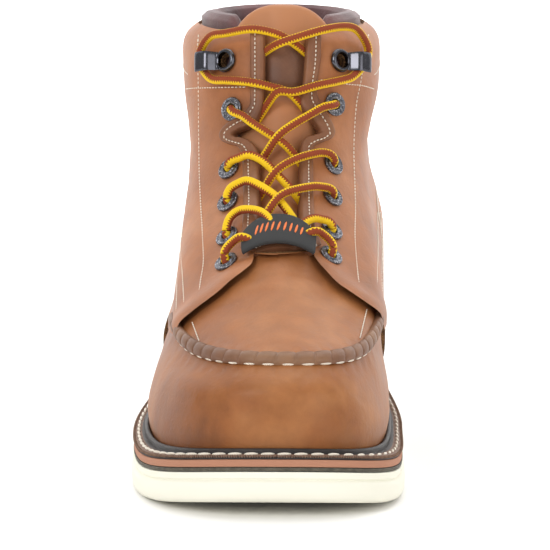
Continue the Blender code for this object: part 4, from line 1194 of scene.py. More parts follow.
def below_facings(name, edge, side):
    """The cutter for all that lies below a facing's front edge, as seen from the front."""
    places = [edge_place(px, py) for px, py in flowing_pairs(edge, 5)]
    outline = [(place.x, place.z) for place in places]
    spare = side * CUT_SPARE
    reach = outline[-1][0] + spare
    outline += [(reach, outline[-1][1]), (reach, CUT_FLOOR), (-spare, CUT_FLOOR), (-spare, outline[0][1])]
    return prism(name, outline, 1, -UPPER_LENGTH, EDGE_DEPTH, "leather_edge")


def heel_area(name, shift):
    """The cutter for all that lies behind the counter's front edge."""
    line = side_line(COUNTER_FRONT, shift)
    outline = line + [(UPPER_LENGTH, line[-1][1]), (UPPER_LENGTH, CUT_FLOOR)]
    return prism(name, outline, 0, -SOLE_WIDTH, SOLE_WIDTH, "leather_edge")


def edge_place(px, py):
    """A place on the facing's edge; near the leather's outline it is taken at the ball of the foot."""
    place, _ = near_hit(px, py, FACING_TOP)
    if place.y < EDGE_DEPTH:
        return place
    ray = camera_ray(px, py)
    start = Vector(CAMERA_PLACE)
    return start + ray * ((BALL_PLACE - start.y) / ray.y)


def below_side(name, start):
    """The cutter below the quarter's edge along the side, behind what the front view shows."""
    knots = [(side.along * UPPER_LENGTH, height_at(side.height)) for side in SIDE_EDGE]
    line = [(-UPPER_LENGTH, start.z)] + flowing_pairs([(EDGE_DEPTH - 0.001, start.z)] + knots)
    outline = line + [(line[-1][0], CUT_FLOOR), (-UPPER_LENGTH, CUT_FLOOR)]
    return prism(name, outline, 0, -SOLE_WIDTH, SOLE_WIDTH, "leather_edge")


def flowing_pairs(pairs, steps=6):
    return [(point.x, point.y) for point in flowing([Vector((*pair, 0.0)) for pair in pairs], steps)]


def lacing_holes():
    """The cutter for the eyelets' and the hooks' holes."""
    bm = bmesh.new()
    for side in (-1.0, 1.0):
        spots = [(THROAT_HALF_WIDTH + EYELET_SETBACK, eyelet_height(number, side),
                  EYELET_HOLE / 2.0 + 0.0004)
                 for number in range(len(EYELET_HEIGHTS))]
        spots.append((THROAT_HALF_WIDTH + HOOK_SETBACK, height_at(HOOK_HEIGHT), HOOK_HOLE / 2.0))
        for reach, height, radius in spots:
            centre, outward, upward, off = facing_frame(side, reach, height)
            axes = Matrix((outward, upward * side, off)).transposed().to_4x4()
            bmesh.ops.create_cone(bm, cap_ends=True, segments=32, radius1=radius, radius2=radius,
                                  depth=0.012,
                                  matrix=Matrix.Translation(centre) @ axes)
    return plain_object(bm, "lacing_holes", "leather_edge")


def make_overlays():
    """The two quarters and the heel counter, and the throat cut through the upper below them."""
    lateral = [photo_hit(px, py, FACING_TOP)[0] for (px, py), _ in STRIP_LATERAL]
    medial = [photo_hit(px, py, FACING_TOP)[0] for (px, py), _ in STRIP_MEDIAL]
    outline = [(place.x, place.z) for place in flowing(lateral, 6) + flowing(medial, 6)[::-1]]
    top = SHAFT_HEIGHT * 1.5
    outline = [(outline[0][0], top)] + outline + [(outline[-1][0], top)]
    throat = prism("throat", outline, 1, -UPPER_LENGTH, THROAT_DEPTH, "leather_edge")
    holes = lacing_holes()
    behind = heel_area("behind", -CLEARANCE * 1.5)
    area = heel_area("area", 0.0)
    used = [throat, holes, behind, area]
    for name, turn_at, flip, node, edge in (
            ("facing_lateral", sheet_turn, True, "quarter_lateral", EDGE_LATERAL),
            ("facing_medial", lambda u: 1.0 - sheet_turn(u), False, "quarter_medial", EDGE_MEDIAL)):
        front = below_facings(name + "_front", edge, -1.0 if flip else 1.0)
        beside = below_side(name + "_side", edge_place(*edge[-1]))
        overlay_sheet(name, turn_at, 120, flip, (node,), (throat, front, beside, behind, holes), edge=edge)
        used += [front, beside]
    overlay_sheet("heel_counter", lambda u: 0.25 + 0.5 * u, 120, True, ("counter",), (), area)
    cut(bpy.data.objects["leather_upper"], (throat, holes))
    discard(used)


def make_strips():
    """Narrow strips folded over both edges of the throat, with their stitches."""
    sizes = bpy.context.scene.boot_sizes
    profile = ((0.02, -0.0042), (-0.08, -0.0040), (-0.12, -0.0020), (-0.11, 0.0002), (-0.04, 0.0011),
               (0.10, 0.0015), (0.35, 0.0016), (0.52, 0.0013), (0.64, 0.0011), (0.76, 0.0014),
               (0.90, 0.0013),
               (0.97, 0.0006), (1.0, -0.0004), (0.5, -0.0006), (0.06, -0.0006))
    for name, rows, node in (("strip_lateral", STRIP_LATERAL, "binding_lateral"),
                             ("strip_medial", STRIP_MEDIAL, "binding_medial")):
        inner = flowing([Vector((*edge, 0.0)) for edge, _ in rows], 14)
        outer = flowing([Vector((*back, 0.0)) for _, back in rows], 14)
        count = len(inner) - 1

        def place_at(u, v):
            station = round(u * count)
            reach, height = profile[round(v * len(profile)) % len(profile)]
            pixel = inner[station].lerp(outer[station], reach)
            place, normal = photo_hit(pixel.x, pixel.y, FACING_TOP)
            return place + normal * height

        bm = close_ends(sheet(count, len(profile), place_at, wrap_rows=True))
        piece_from(bm, name, ("strip_leather",), (node,), sharp=70.0)
        bm = bmesh.new()
        line = []
        for edge, back in zip(inner, outer):
            pixel = edge.lerp(back, 0.62)
            line.append(photo_hit(pixel.x, pixel.y, FACING_TOP + 0.0013))
        sew(bm, line, sizes.stitch_pitch, 0.72, sizes.thread_width, 0.00045)
        piece_from(bm, name + "_stitches", ("cream_thread",))


def sewn_rows():
    """Rows of thread over the facings, the collar band and the counter."""
    sizes = bpy.context.scene.boot_sizes
    bm = bmesh.new()
    rows = [FACING_ROW_LATERAL, FACING_ROW_MEDIAL, COLLAR_ROW_LATERAL, COLLAR_ROW_MEDIAL]
    rows += COUNTER_ROWS_LATERAL + COUNTER_ROWS_MEDIAL
    lines = [pixel_line(row, FACING_TOP) for row in rows]
    line = side_line(COUNTER_FRONT, 0.0, 10)
    for side in (-1.0, 1.0):
        for setback in (0.0022, 0.0052):
            lines.append([side_hit(side, y + setback, z, FACING_TOP) for y, z in line if 0.045 < z < 0.176])
    collar = []
    for i in range(COLLAR_ROW_STEPS + 1):
        turn = COLLAR_ROW_START + (1.0 - 2.0 * COLLAR_ROW_START) * i / COLLAR_ROW_STEPS
        place = skin(turn, COLLAR_ROW_UP, FACING_TOP)
        collar.append((place, (place - skin(turn, COLLAR_ROW_UP)).normalized()))
    lines.append(collar)
    for row in lines:
        sew(bm, row, sizes.stitch_pitch, 0.78, sizes.thread_width, 0.0003)
    piece_from(bm, "facing_stitches", ("cream_thread",))


def make_foot_band():
    """The narrow band over the tongue's foot, with its two rows of braided stitches."""
    lines = pixel_line(FOOT_BAND, 0.0, 12)
    profile = ((0.0, -0.0012), (0.0, 0.0016), (0.0008, 0.0024), (0.0026, 0.0026), (0.0046, 0.0024),
               (0.0056, 0.0016),
               (0.0058, -0.0012))
    count = len(lines) - 1

    def place_at(u, v):
        place, normal = lines[round(u * count)]
        rise, height = profile[round(v * len(profile)) % len(profile)]
        above, lean = front_hit(place.x, place.z + rise * 0.9)
        return above + lean * height

    bm = close_ends(sheet(count, len(profile), place_at, wrap_rows=True))
    piece_from(bm, "foot_band", ("strip_leather",), sharp=60.0)
    bm = bmesh.new()
    for rise, slant in ((0.0016, 0.55), (0.0036, -0.55)):
        row = []
        for place, _ in lines[3:-3]:
            above, lean = front_hit(place.x, place.z + rise * 0.9)
            row.append((above + lean * 0.0025, lean))
        sew(bm, row, 0.0021, 1.05, 0.0007, 0.0004, slant)
    piece_from(bm, "foot_band_stitches", ("cream_thread",))


def make_collar_lining():
    """The padded roll inside the collar, open at the front for the tongue."""
    section = ((8.9, 0.0027), (10.0, 0.0027), (10.6, 0.0036), (10.98, 0.0048), (11.24, 0.0040),
               (11.44, 0.0060),
               (11.50, 0.0088), (11.38, 0.0112), (11.0, 0.0126), (10.3, 0.0120), (9.6, 0.0098),
               (9.1, 0.0060),
               (8.9, 0.0036))
    ups = [point[0] for point in section]
    depths = [point[1] for point in section]
    opening = TONGUE_HALF_WIDTH - 0.0025
    middle = skin(0.0, COLLAR_RING).x
    first = next(i / 2000 for i in range(1, 1000) if abs(skin(i / 2000, COLLAR_RING).x - middle) > opening)

    def place_at(u, v):
        turn = first + (1.0 - 2.0 * first) * u
        knot = (v * len(section)) % len(section)
        index, share = int(knot), knot - int(knot)
        after = (index + 1) % len(section)
        ease = share * share * (3.0 - 2.0 * share)
        up = ups[index] + (ups[after] - ups[index]) * ease
        depth = depths[index] + (depths[after] - depths[index]) * ease
        narrow = min(min(u, 1.0 - u) / 0.035, 1.0)
        narrow = 1.0 - (1.0 - narrow) ** 2
        up = 10.3 + (up - 10.3) * (0.55 + 0.45 * narrow)
        depth = 0.0060 + (depth - 0.0060) * (0.35 + 0.65 * narrow)
        ripple = 0.0004 * noise.noise(Vector((turn * 40.0, up * 2.0, 0.0)))
        return skin(turn, up, ripple - depth)

    bm = close_ends(sheet(180, 48, place_at, wrap_rows=True))
    lining = piece_from(bm, "padded_collar", ("mauve_lining",), ("collar_lining",), sharp=80.0)


TONGUE_PANEL = (0.922, 1.035)
TONGUE_BULGES = (0.565, 0.655, 0.745, 0.915)


def make_tongue():
    """The padded tongue: quilted below, a plain panel above it and a smooth domed top."""
    foot = skin(0.0, 5.7).z
    crest = skin(0.0, COLLAR_RING + TONGUE_RISE / (0.12 * SHAFT_HEIGHT)).z
    under = UPPER_WALL + TONGUE_GAP
    bulges = [height_at(share) for share in TONGUE_BULGES]

    def place_at(u, v):
        angle = 2.0 * math.pi * u
        share = math.copysign(abs(math.cos(angle)) ** 0.7, math.cos(angle))
        depth = 0.5 - 0.5 * math.copysign(abs(math.sin(angle)) ** 0.6, math.sin(angle))
        top = crest - 0.012 * abs(share) ** 3
        height = foot + (top - foot) * v
        width = TONGUE_HALF_WIDTH * (0.80 + 0.20 * v)
        place, normal = front_hit(throat_middle(height) + share * width, height)
        rounding = math.sqrt(max(1.0 - max(v - 0.965, 0.0) ** 2 / 0.035 ** 2, 0.0))
        quilt = 0.0
        if height < height_at(TONGUE_PANEL[1]):
            nearest = min(abs(height - bulge) for bulge in bulges)
            quilt = -0.0020 * math.exp(-((nearest / 0.0030) ** 2)) * (1.0 - depth)
        free = min(max((v - 0.05) / 0.1, 0.0), 1.0)
        crown = TONGUE_CROWN * free * max(0.0, 1.0 - (share / 0.40) ** 2) + quilt
        inward = TONGUE_THICKNESS * (0.5 + (depth - 0.5) * rounding)
        return place + normal * (crown - under - inward)

    bm = close_ends(sheet(72, 190, place_at, wrap_columns=True))
    low, high = (height_at(share) for share in TONGUE_PANEL)
    for face in bm.faces:
        if low < face.calc_center_median().z < high:
            face.material_index = 1
    tongue = piece_from(bm, "padded_tongue", ("tongue_leather", "tongue_panel"), ("tongue",),
                        sharp=70.0)


def make_insole():
    def place_at(u, v):
        left = skin(0.5 * u, 0.0, -UPPER_WALL - CLEARANCE)
        right = skin(1.0 - 0.5 * u, 0.0, -UPPER_WALL - CLEARANCE)
        across = 2.0 * v if v < 0.5 else 2.0 - 2.0 * v
        place = left.lerp(right, across)
        top = v < 0.5
        place.z = sole_top(place.y) + (INSOLE_THICKNESS if top else 0.0)
        return place

    bm = close_ends(sheet(100, 16, place_at, wrap_rows=True))
    bmesh.ops.remove_doubles(bm, verts=bm.verts, dist=1e-5)
    piece_from(bm, "footbed", ("footbed_cloth",), ("insole",))


def slab(name, finish, levels, node, columns=260):
    """A sole layer: its levels give an inset from the sole's edge and a height, closed along a spine."""
    flat = ((1.0, levels[0]), (0.5, levels[0]))
    rows = flat + tuple((0.0, level) for level in levels) + ((0.5, levels[-1]), (1.0, levels[-1]))

    def place_at(u, v):
        inward, (inset, height) = rows[round(v * (len(rows) - 1))]
        place = sole_point(turn_to_around(u), inset)
        place.x += (middle_line(place.y) - place.x) * inward
        place.z = height(place.y)
        return place

    bm = sheet(columns, len(rows) - 1, place_at, wrap_columns=True, flip=True)
    bmesh.ops.remove_doubles(bm, verts=bm.verts, dist=1e-5)
    bmesh.ops.recalc_face_normals(bm, faces=bm.faces)
    # The second finish, the darker groove rubber, is painted shade for grooves cut into the layer.
    return piece_from(bm, name, (finish, "groove_rubber_painted_shade"), (node,), sharp=35.0)


def make_soles():
    """The cream wedge with its band and tread, the thin dark layer and the rust midsole."""
    band = UPPER_BAND_HEIGHT

    def below_top(drop):
        return lambda y: outsole_top(y) - drop

    levels = (
        (0.0030, sole_bottom),
        (0.0014, lambda y: sole_bottom(y) + 0.0006),
        (0.0004, lambda y: sole_bottom(y) + 0.0018),
        (0.0, lambda y: sole_bottom(y) + 0.0040),
        (0.0, lambda y: (sole_bottom(y) + outsole_top(y)) / 2.0),
        (0.0001, below_top(band + BAND_STEP + 0.0004)),
        (0.0005, below_top(band + BAND_STEP - 0.0002)),
        (BAND_STEP * 1.5, below_top(band + 0.0002)),
        (BAND_STEP * 1.5, below_top(band - 0.0003)),
        (BAND_STEP, below_top(band * 0.8)),
        (BAND_STEP, below_top(band * 0.3)),
        (BAND_STEP * 0.8, below_top(0.0002)),
        (BAND_STEP * 1.1, outsole_top),
    )
    outsole = slab("wedge_outsole", "cream_rubber", levels, "outsole")
    bm = bmesh.new()
    first = -SOLE_LENGTH / 2 + SPRING_LENGTH + TREAD_PITCH * 0.25
    for start, count in ((first, 3), (SOLE_LENGTH * 0.235, 3)):
        for i in range(count):
            y = start + i * TREAD_PITCH
            share = along(y, SOLE_LENGTH)
            half = SOLE_WIDTH * smooth_value(SOLE_WIDTHS[:4], 3.0 * share)
            half = half * rounded(1.0 - share, SOLE_WIDTHS.tail, SOLE_WIDTHS.tail_blunt) - TREAD_MARGIN
            size = Matrix.Diagonal((half * 2.0, TREAD_GROOVE, TREAD_DEPTH * 2.0, 1.0))
            bmesh.ops.create_cube(bm, size=1.0, matrix=Matrix.Translation((middle_line(y), y, 0.0)) @ size)
    # The tread channels' cut faces take the darker groove rubber: painted shade in the channels.
    grooves = plain_object(bm, "tread", "groove_rubber_painted_shade")
    cut(outsole, (grooves,))
    discard((grooves,))
    setback = MIDSOLE_SETBACK
    slab("dark_foot_layer", "dark_layer", (
        (setback, lambda y: outsole_top(y) + CLEARANCE),
        (setback * 0.8, lambda y: outsole_top(y) + CLEARANCE + LAYER_THICKNESS * 0.5),
        (setback, layer_top),
    ), "sole_layer")
    slab("rust_board", "rust_midsole", (
        (setback * 1.2, lambda y: layer_top(y) + CLEARANCE),
        (setback, lambda y: layer_top(y) + CLEARANCE + 0.0004),
        (setback * 0.9, lambda y: midsole_top(y) - 0.0004),
        (setback * 1.1, midsole_top),
    ), "midsole")


def make_welt():
    """The welt: a glossy bead against the leather, a groove, a shelf with stitches and a knurled edge."""
    sizes = bpy.context.scene.boot_sizes
    bead_up = BEAD_HEIGHT * 0.9 / (RINGS[1].front_up * SHAFT_HEIGHT)
    profile = ((0.0, 0.0), (0.0, 0.0034), (0.0004, 0.0044), (0.0011, 0.0047), (0.0019, 0.0044),
               (0.0025, 0.0036),
               (0.0027, 0.0026), (0.0029, 0.0022), (0.0036, 0.0022))
    shelf = ((0.55, 0.0022), (0.80, 0.0018), (0.94, 0.0014), (1.0, 0.0009), (1.0, 0.0))

    def column_at(around):
        foot = skin(around, 0.0, CLEARANCE)
        foot.z = sole_top(foot.y)
        shoulder = skin(around, bead_up, CLEARANCE)
        rim = sole_point(turn_to_around(around), WELT_SETBACK)
        outward = (rim - foot) * Vector((1.0, 1.0, 0.0))
        width = outward.length
        outward.normalize()
        return foot, shoulder, outward, width

    def place_on(around, reach, height):
        foot, shoulder, outward, width = column_at(around)
        start = foot.lerp(shoulder, min(height / BEAD_HEIGHT, 1.0)) if reach < 0.0030 else foot
        point = start + outward * min(reach, width)
        point.z = sole_top(point.y) + height
        return point

    def place_at(u, v):
        index = round(v * (len(profile) + len(shelf))) % (len(profile) + len(shelf))
        if index < len(profile):
            return place_on(u, *profile[index])
        share, height = shelf[index - len(profile)]
        width = column_at(u)[3]
        return place_on(u, max(share * width, 0.0037), height)

    bm = sheet(320, len(profile) + len(shelf), place_at, wrap_columns=True, wrap_rows=True)
    bmesh.ops.recalc_face_normals(bm, faces=bm.faces)
    # Faces off the low shelf keep the near-black bead colour, which on the groove ledge beside the bead is
    # painted shade.
    for face in bm.faces:
        centre = face.calc_center_median()
        if centre.z < sole_top(centre.y) + 0.00205 and face.normal.z > 0.2:
            face.material_index = 1
    piece_from(bm, "welt_strip", ("bead_colour_and_groove_shade", "knurled_welt"), ("welt",), sharp=60.0)
    bm = bmesh.new()
    rim = [place_on(i / 900, 1.0, 0.0011) for i in range(901)]
    for place, direction in resampled(rim, sizes.knurl_pitch):
        outward = direction.cross(Vector((0.0, 0.0, 1.0))).normalized()
        axes = Matrix((direction * 0.00038, outward * 0.0008, Vector((0.0, 0.0,
                                                                      0.0007)))).transposed().to_4x4()
        bmesh.ops.create_icosphere(bm, subdivisions=1, radius=1.0, matrix=Matrix.Translation(place) @ axes)
    piece_from(bm, "welt_knurls", ("knurled_welt",))
    bm = bmesh.new()
    row = []
    for i in range(601):
        width = column_at(i / 600)[3]
        row.append((place_on(i / 600, width * 0.74, 0.0021), Vector((0.0, 0.0, 1.0))))
    sew(bm, row, sizes.welt_pitch, 0.86, 0.0013, 0.0007, slant=0.12)
    piece_from(bm, "welt_stitches", ("cream_thread",))


def make_eyelets():
    """Ten rolled eyelets in one piece."""
    seat = FACING_TOP + EYELET_LIFT * 0.4
    outer, hole = EYELET_OUTER / 2.0, EYELET_HOLE / 2.0
    profile = ((hole, -0.0020), (hole, seat + 0.0006), (hole + 0.0002, seat + 0.0012),
               (hole + 0.0006, seat + 0.0014), (hole + 0.0011, seat + 0.0011),
               (hole + 0.0016, seat + 0.0009), (outer - 0.0009, seat + 0.0010),
               (outer - 0.0004, seat + 0.0012), (outer - 0.0001, seat + 0.0010), (outer, seat + 0.0005),
               (outer - 0.0002, seat), (outer - 0.0020, seat - 0.0002), (hole + 0.0006, seat - 0.0004),
               (hole + 0.0006, -0.0020))
    bm = bmesh.new()
    nodes = []
    for side, label in ((-1.0, "lateral"), (1.0, "medial")):
        for number in range(len(EYELET_HEIGHTS)):
            frame_axes = facing_frame(side, THROAT_HALF_WIDTH + EYELET_SETBACK, eyelet_height(number, side))
            add_spun(bm, frame_axes, profile, 40)
            nodes.append(f"eyelet_{label}_{len(EYELET_HEIGHTS) - number}")
    piece_from(bm, "rolled_eyelets", ("speckled_gunmetal",), nodes)


def add_spun(bm, axes, profile, segments):
    """Adds a closed ring: a profile of radius and height spun about an axis off the leather."""
    centre, outward, upward, off = axes
    ring = bmesh.new()
    points = [ring.verts.new(centre + outward * radius + off * height) for radius, height in profile]
    edges = [ring.edges.new((points[i], points[(i + 1) % len(points)])) for i in range(len(points))]
    bmesh.ops.spin(ring, geom=points + edges, cent=centre, axis=off, angle=2.0 * math.pi, steps=segments,
                   use_merge=True)
    bmesh.ops.recalc_face_normals(ring, faces=ring.faces)
    join_into(bm, ring)


def make_hooks():
    """Speed hooks: a hollow ring end riveted to the leather and a squared end that stands off it."""
    seat = CLEARANCE * 2.0 + OVERLAY_THICKNESS
    shape = ((0.170, 0.80, 0.10), (0.22, 0.84, 0.20), (0.28, 0.86, 0.52), (0.34, 0.88, 0.84),
             (0.42, 0.90, 1.0),
             (0.52, 0.92, 1.0), (0.64, 0.92, 0.98), (0.71, 0.90, 0.90), (0.735, 0.86, 0.74),
             (0.74, 0.80, 0.60))
    hole = HOOK_HOLE / 2.0
    ring = ((hole, seat - 0.0030), (hole, seat + 0.0012), (hole + 0.0003, seat + 0.0018),
            (hole + 0.0009, seat + 0.0019), (hole + 0.0015, seat + 0.0016), (hole + 0.0019, seat + 0.0010),
            (hole + 0.0021, seat + 0.0002),
            (hole + 0.0010, seat), (hole + 0.0006, seat - 0.0030))
    for side, label in ((-1.0, "lateral"), (1.0, "medial")):
        axes = facing_frame(side, THROAT_HALF_WIDTH + HOOK_SETBACK, height_at(HOOK_HEIGHT))
        centre, outward, upward, off = axes
        smooth = flowing([Vector(row) for row in shape], 4)

        def place_at(u, v):
            station, width, lift = smooth[round(u * (len(smooth) - 1))]
            across = (2.0 * v - 1.0) * HOOK_WIDTH * 0.5 * width
            rim = 0.0004 * abs(2.0 * v - 1.0) ** 6
            height = seat + HOOK_PLATE + lift * HOOK_STANDOFF - rim
            return centre + outward * (station * HOOK_LENGTH) + upward * across + off * height

        bm = sheet(len(smooth) - 1, 16, place_at, flip=side < 0.0)
        hook = piece_from(bm, f"speed_hook_{label}", ("black_nickel",), (f"hook_{label}",))
        thicken(hook, HOOK_PLATE)
        applied(hook)
        edges = hook.modifiers.new("edges", "BEVEL")
        edges.width = 0.0003
        edges.segments = 2
        edges.limit_method = "ANGLE"
        edges.angle_limit = math.radians(50.0)
        hook.data.shade_smooth()
        hook.data.set_sharp_from_angle(angle=math.radians(50.0))
        bm = bmesh.new()
        add_spun(bm, axes, ring, 40)
        piece_from(bm, f"hook_ring_{label}", ("black_nickel",))


def make_keeper():
    """The black rubber bridge over the foot of the throat, with plain raised bars on its arc."""
    low = CLEARANCE * 2.0 + OVERLAY_THICKNESS + BINDING_THICKNESS + KEEPER_LIFT
    base = height_at(KEEPER_BASE)

    def spot(share, rise, layer):
        arch = KEEPER_ARCH * (1.0 - share * share)
        narrow = 1.0 - 0.30 * abs(share) ** 3
        height = base + arch + rise * KEEPER_HEIGHT * narrow
        place, normal = front_hit(throat_middle(height) + share * KEEPER_WIDTH / 2.0, height)
        return place + normal * layer

    def place_at(u, v):
        angle = 2.0 * math.pi * v
        rise = 0.5 - 0.5 * math.copysign(abs(math.cos(angle)) ** 0.5, math.cos(angle))
        layer = 0.5 + 0.5 * math.copysign(abs(math.sin(angle)) ** 0.5, math.sin(angle))
        return spot(2.0 * u - 1.0, rise, low + layer * KEEPER_THICKNESS)

    bm = close_ends(sheet(60, 28, place_at, wrap_rows=True))
    piece_from(bm, "lace_keeper", ("black_rubber",), ("keeper",), sharp=60.0)
    bm = bmesh.new()
    top = low + KEEPER_THICKNESS
    for i in range(9):
        share = -0.56 + 1.12 * i / 8
        start, end = spot(share - 0.02, 0.34, top), spot(share + 0.05, 0.68, top)
        normal = (spot(share, 0.5, top + 0.001) - spot(share, 0.5, top)).normalized()
        run = end - start
        add_stitch(bm, (start + end) / 2.0, run.normalized(), normal, run.length, 0.0011, 0.0004)
    piece_from(bm, "keeper_bars", ("orange_rubber",))


def cord_points(rows, side):
    """Places along a cord from rows of reach, stage and height off the leather."""
    points = []
    for row in rows:
        height = eyelet_height(row.stage, side)
        reach = side * row.out * (THROAT_HALF_WIDTH + EYELET_SETBACK)
        place, normal = front_hit(throat_middle(height) + reach, height)
        points.append(place + normal * (FACING_TOP + CLEARANCE + row.off * LACE_DIAMETER))
    return points


def tucked(rows):
    """A cord's rows with a last one under the opposite facing."""
    last, before = rows[-1], rows[-2]
    slope = (last.stage - before.stage) / (last.out - before.out)
    return rows + (LacePoint(-0.60, last.stage + slope * -0.28, -1.45),)


def into_eyelet(rows, stage):
    """A cord's rows with its first ones over an eyelet's rim and down its hole."""
    first = rows[0]
    over = LacePoint(0.88, stage + (first.stage - stage) * 0.62, 1.02)
    return (LacePoint(1.0, stage, -0.80), LacePoint(1.0, stage, 0.35), over) + rows


def relaxed(points, rounds):
    """Eases a line of places between its ends."""
    line = list(points)
    for _ in range(rounds):
        inner = [(line[i - 1] + line[i] * 2.0 + line[i + 1]) / 4.0 for i in range(1, len(line) - 1)]
        line = line[:1] + inner + line[-1:]
    return line


def add_cord(bm, points, radius, roll):
    """A braided cord; its rust side is rolled by some degrees from upwards towards the viewer."""
    path = relaxed([place for place, _ in resampled(flowing(points, 10), 0.0006)], 14)
    stations = resampled(path, LACE_STEP)
    count = len(stations) - 1
    viewer = Vector((0.0, -1.0, 0.15)).normalized()
    turned = math.radians(roll)

    def place_at(u, v):
        index = round(v * count)
        place, tangent = stations[index]
        across = tangent.cross(viewer).normalized()
        if across.z < 0.0:
            across = -across
        facing = tangent.cross(across).normalized()
        if facing.dot(viewer) < 0.0:
            facing = -facing
        angle = 2.0 * math.pi * u
        length = index * LACE_STEP
        braid = math.sin(angle * 4.0 + length * 3100.0) * math.sin(angle * 4.0 - length * 3100.0)
        size = radius * (1.0 + 0.05 * braid)
        return place + across * (math.cos(angle + turned) * size) + facing * (math.sin(angle + turned) * size)

    part = sheet(20, count, place_at, wrap_columns=True)
    pattern = part.loops.layers.uv["UVMap"]
    for face in part.faces:
        for loop in face.loops:
            loop[pattern].uv.y *= count * LACE_STEP
    join_into(bm, close_ends(part))


def make_laces():
    """The lace in its crossings, from the keeper up to the speed hooks."""
    radius = bpy.context.scene.boot_sizes.lace_diameter / 2.0
    bm = bmesh.new()
    bm.loops.layers.uv.new("UVMap")
    behind_keeper = (LacePoint(0.14, 1.45, 0.95), LacePoint(0.02, 1.15, 0.20))
    beside_keeper = (LacePoint(0.57, 1.30, 1.05), LacePoint(0.42, 1.22, 0.70), LacePoint(0.30, 1.05, 0.20))
    for side, cords, rolls in ((-1.0, LATERAL_CORDS, LATERAL_ROLLS), (1.0, MEDIAL_CORDS, MEDIAL_ROLLS)):
        rows = cords["keeper"] + behind_keeper if side < 0.0 else cords["keeper"][:1] + beside_keeper
        add_cord(bm, cord_points(into_eyelet(rows, 1.0), side), radius, rolls["keeper"])
        for name, stage in (("first", 2.0), ("second", 3.0), ("third", 4.0)):
            add_cord(bm, cord_points(into_eyelet(tucked(cords[name]), stage), side), radius, rolls[name])
        behind = (LacePoint(1.52, 4.80, 0.68), LacePoint(1.60, 5.02, 0.60), LacePoint(1.52, 5.24, 0.68))
        rows = tucked(cords["fourth"])[::-1] + behind + tucked(cords["top"])
        add_cord(bm, cord_points(rows, side), radius, rolls["top"])
        bar = (LacePoint(1.0, 0.0, -0.80), LacePoint(1.0, 0.0, 0.35)) + KEEPER_BAR
        add_cord(bm, cord_points(bar, side), radius, rolls["bar"])
    nodes = ["lace_bar_lateral", "lace_bar_medial", "lace_keeper_lateral", "lace_keeper_medial",
             "lace_first",
             "lace_second", "lace_third", "lace_fourth", "lace_top"]
    piece_from(bm, "laces", ("braided_lace",), nodes, sharp=80.0)


def colour_property(name, code):
    """A colour that a user may change, with an sRGB hex value to start from."""
    return FloatVectorProperty(name=name, subtype="COLOR", size=4, min=0.0, max=1.0, default=colour(code))


class BootSizes(bpy.types.PropertyGroup):
    """Sizes and colours that a user may change before the pieces are made."""

    stitch_pitch: FloatProperty(name="Stitch pitch", description="Length of one stitch with its gap",
                                default=0.0020, subtype="DISTANCE")
    thread_width: FloatProperty(name="Thread width", description="Width of the sewing thread",
                                default=0.0006, subtype="DISTANCE")
    welt_pitch: FloatProperty(name="Welt stitch pitch",
                              description="Length of one welt stitch with its gap",
                              default=0.0070, subtype="DISTANCE")
    knurl_pitch: FloatProperty(name="Knurl pitch",
                               description="Distance between the ribs of the welt's edge",
                               default=0.0011, subtype="DISTANCE")
    pucker_spacing: FloatProperty(name="Pucker spacing",
                                  description="Distance between the gathers of the moc seam",
                                  default=0.0081, subtype="DISTANCE")
    lace_diameter: FloatProperty(name="Lace diameter", description="Thickness of the round lace",
                                 default=LACE_DIAMETER, subtype="DISTANCE")
    vamp_colour: colour_property("Vamp leather", "#9F6337")
    # Darker copy of the vamp leather: painted shade for the toe wall.
    toe_shade_colour: colour_property("Toe leather", "#94592C")
    shaft_colour: colour_property("Shaft leather", "#A5683F")
    sole_colour: colour_property("Cream sole", "#F1EACC")
    thread_colour: colour_property("Thread", "#F6EFE2")
    keeper_colour: colour_property("Lace keeper", "#2C2C2E")
    lace_yellow: colour_property("Lace, yellow side", "#FFDA22")
    lace_rust: colour_property("Lace, rust side", "#A24A26")


class BootOperator(bpy.types.Operator):
    """Makes one group of the boot's pieces"""

    bl_options = {"REGISTER", "UNDO"}


def make_stage():
    """A white floor, soft studio light from the upper left and the camera of the photograph."""
    wall = Matrix.Translation((0.0, BACKDROP_PLACE, 0.0)) @ Matrix.Rotation(math.radians(90.0), 4, "X")
    for name, finish, matrix in (("studio_floor", "studio_paper", Matrix()),
                                 ("backdrop", "lit_backdrop", wall)):
        bm = bmesh.new()
        bmesh.ops.create_grid(bm, x_segments=1, y_segments=1, size=6.0, matrix=matrix)
        plain_object(bm, name, finish)
    world = bpy.data.worlds.new("studio_air")
    world.use_nodes = True
    background = world.node_tree.nodes["Background"]
    background.inputs["Color"].default_value = (1.0, 1.0, 1.0, 1.0)
    background.inputs["Strength"].default_value = STUDIO_AIR
    bpy.context.scene.world = world
    for name, place, power, size in STUDIO_LIGHTS:
        lamp = bpy.data.lights.new(name, "AREA")
        lamp.energy = power
        lamp.size = size
        light = linked(name, lamp)
        light.location = place
        light.rotation_euler = (Vector((0.0, 0.0, 0.09)) - light.location).to_track_quat("-Z",
                                                                                         "Y").to_euler()
    lens = bpy.data.cameras.new("photo_camera")
    lens.lens = CAMERA_LENS
    lens.sensor_width = SENSOR_WIDTH
    lens.clip_end = 50.0
    camera = linked("photo_camera", lens)
    camera.location = CAMERA_PLACE
    camera.rotation_euler = (math.radians(90.0 + CAMERA_PITCH), 0.0, math.radians(CAMERA_AZIMUTH))
    bpy.context.scene.camera = camera
    bpy.context.scene.view_settings.view_transform = "Standard"


class BOOT_OT_materials(BootOperator):
    """Makes every leather, rubber, thread, metal and cloth of the boot"""

    bl_idname = "boot.materials"
    bl_label = "Boot materials"

    def execute(self, context):
        make_materials()
        return {"FINISHED"}


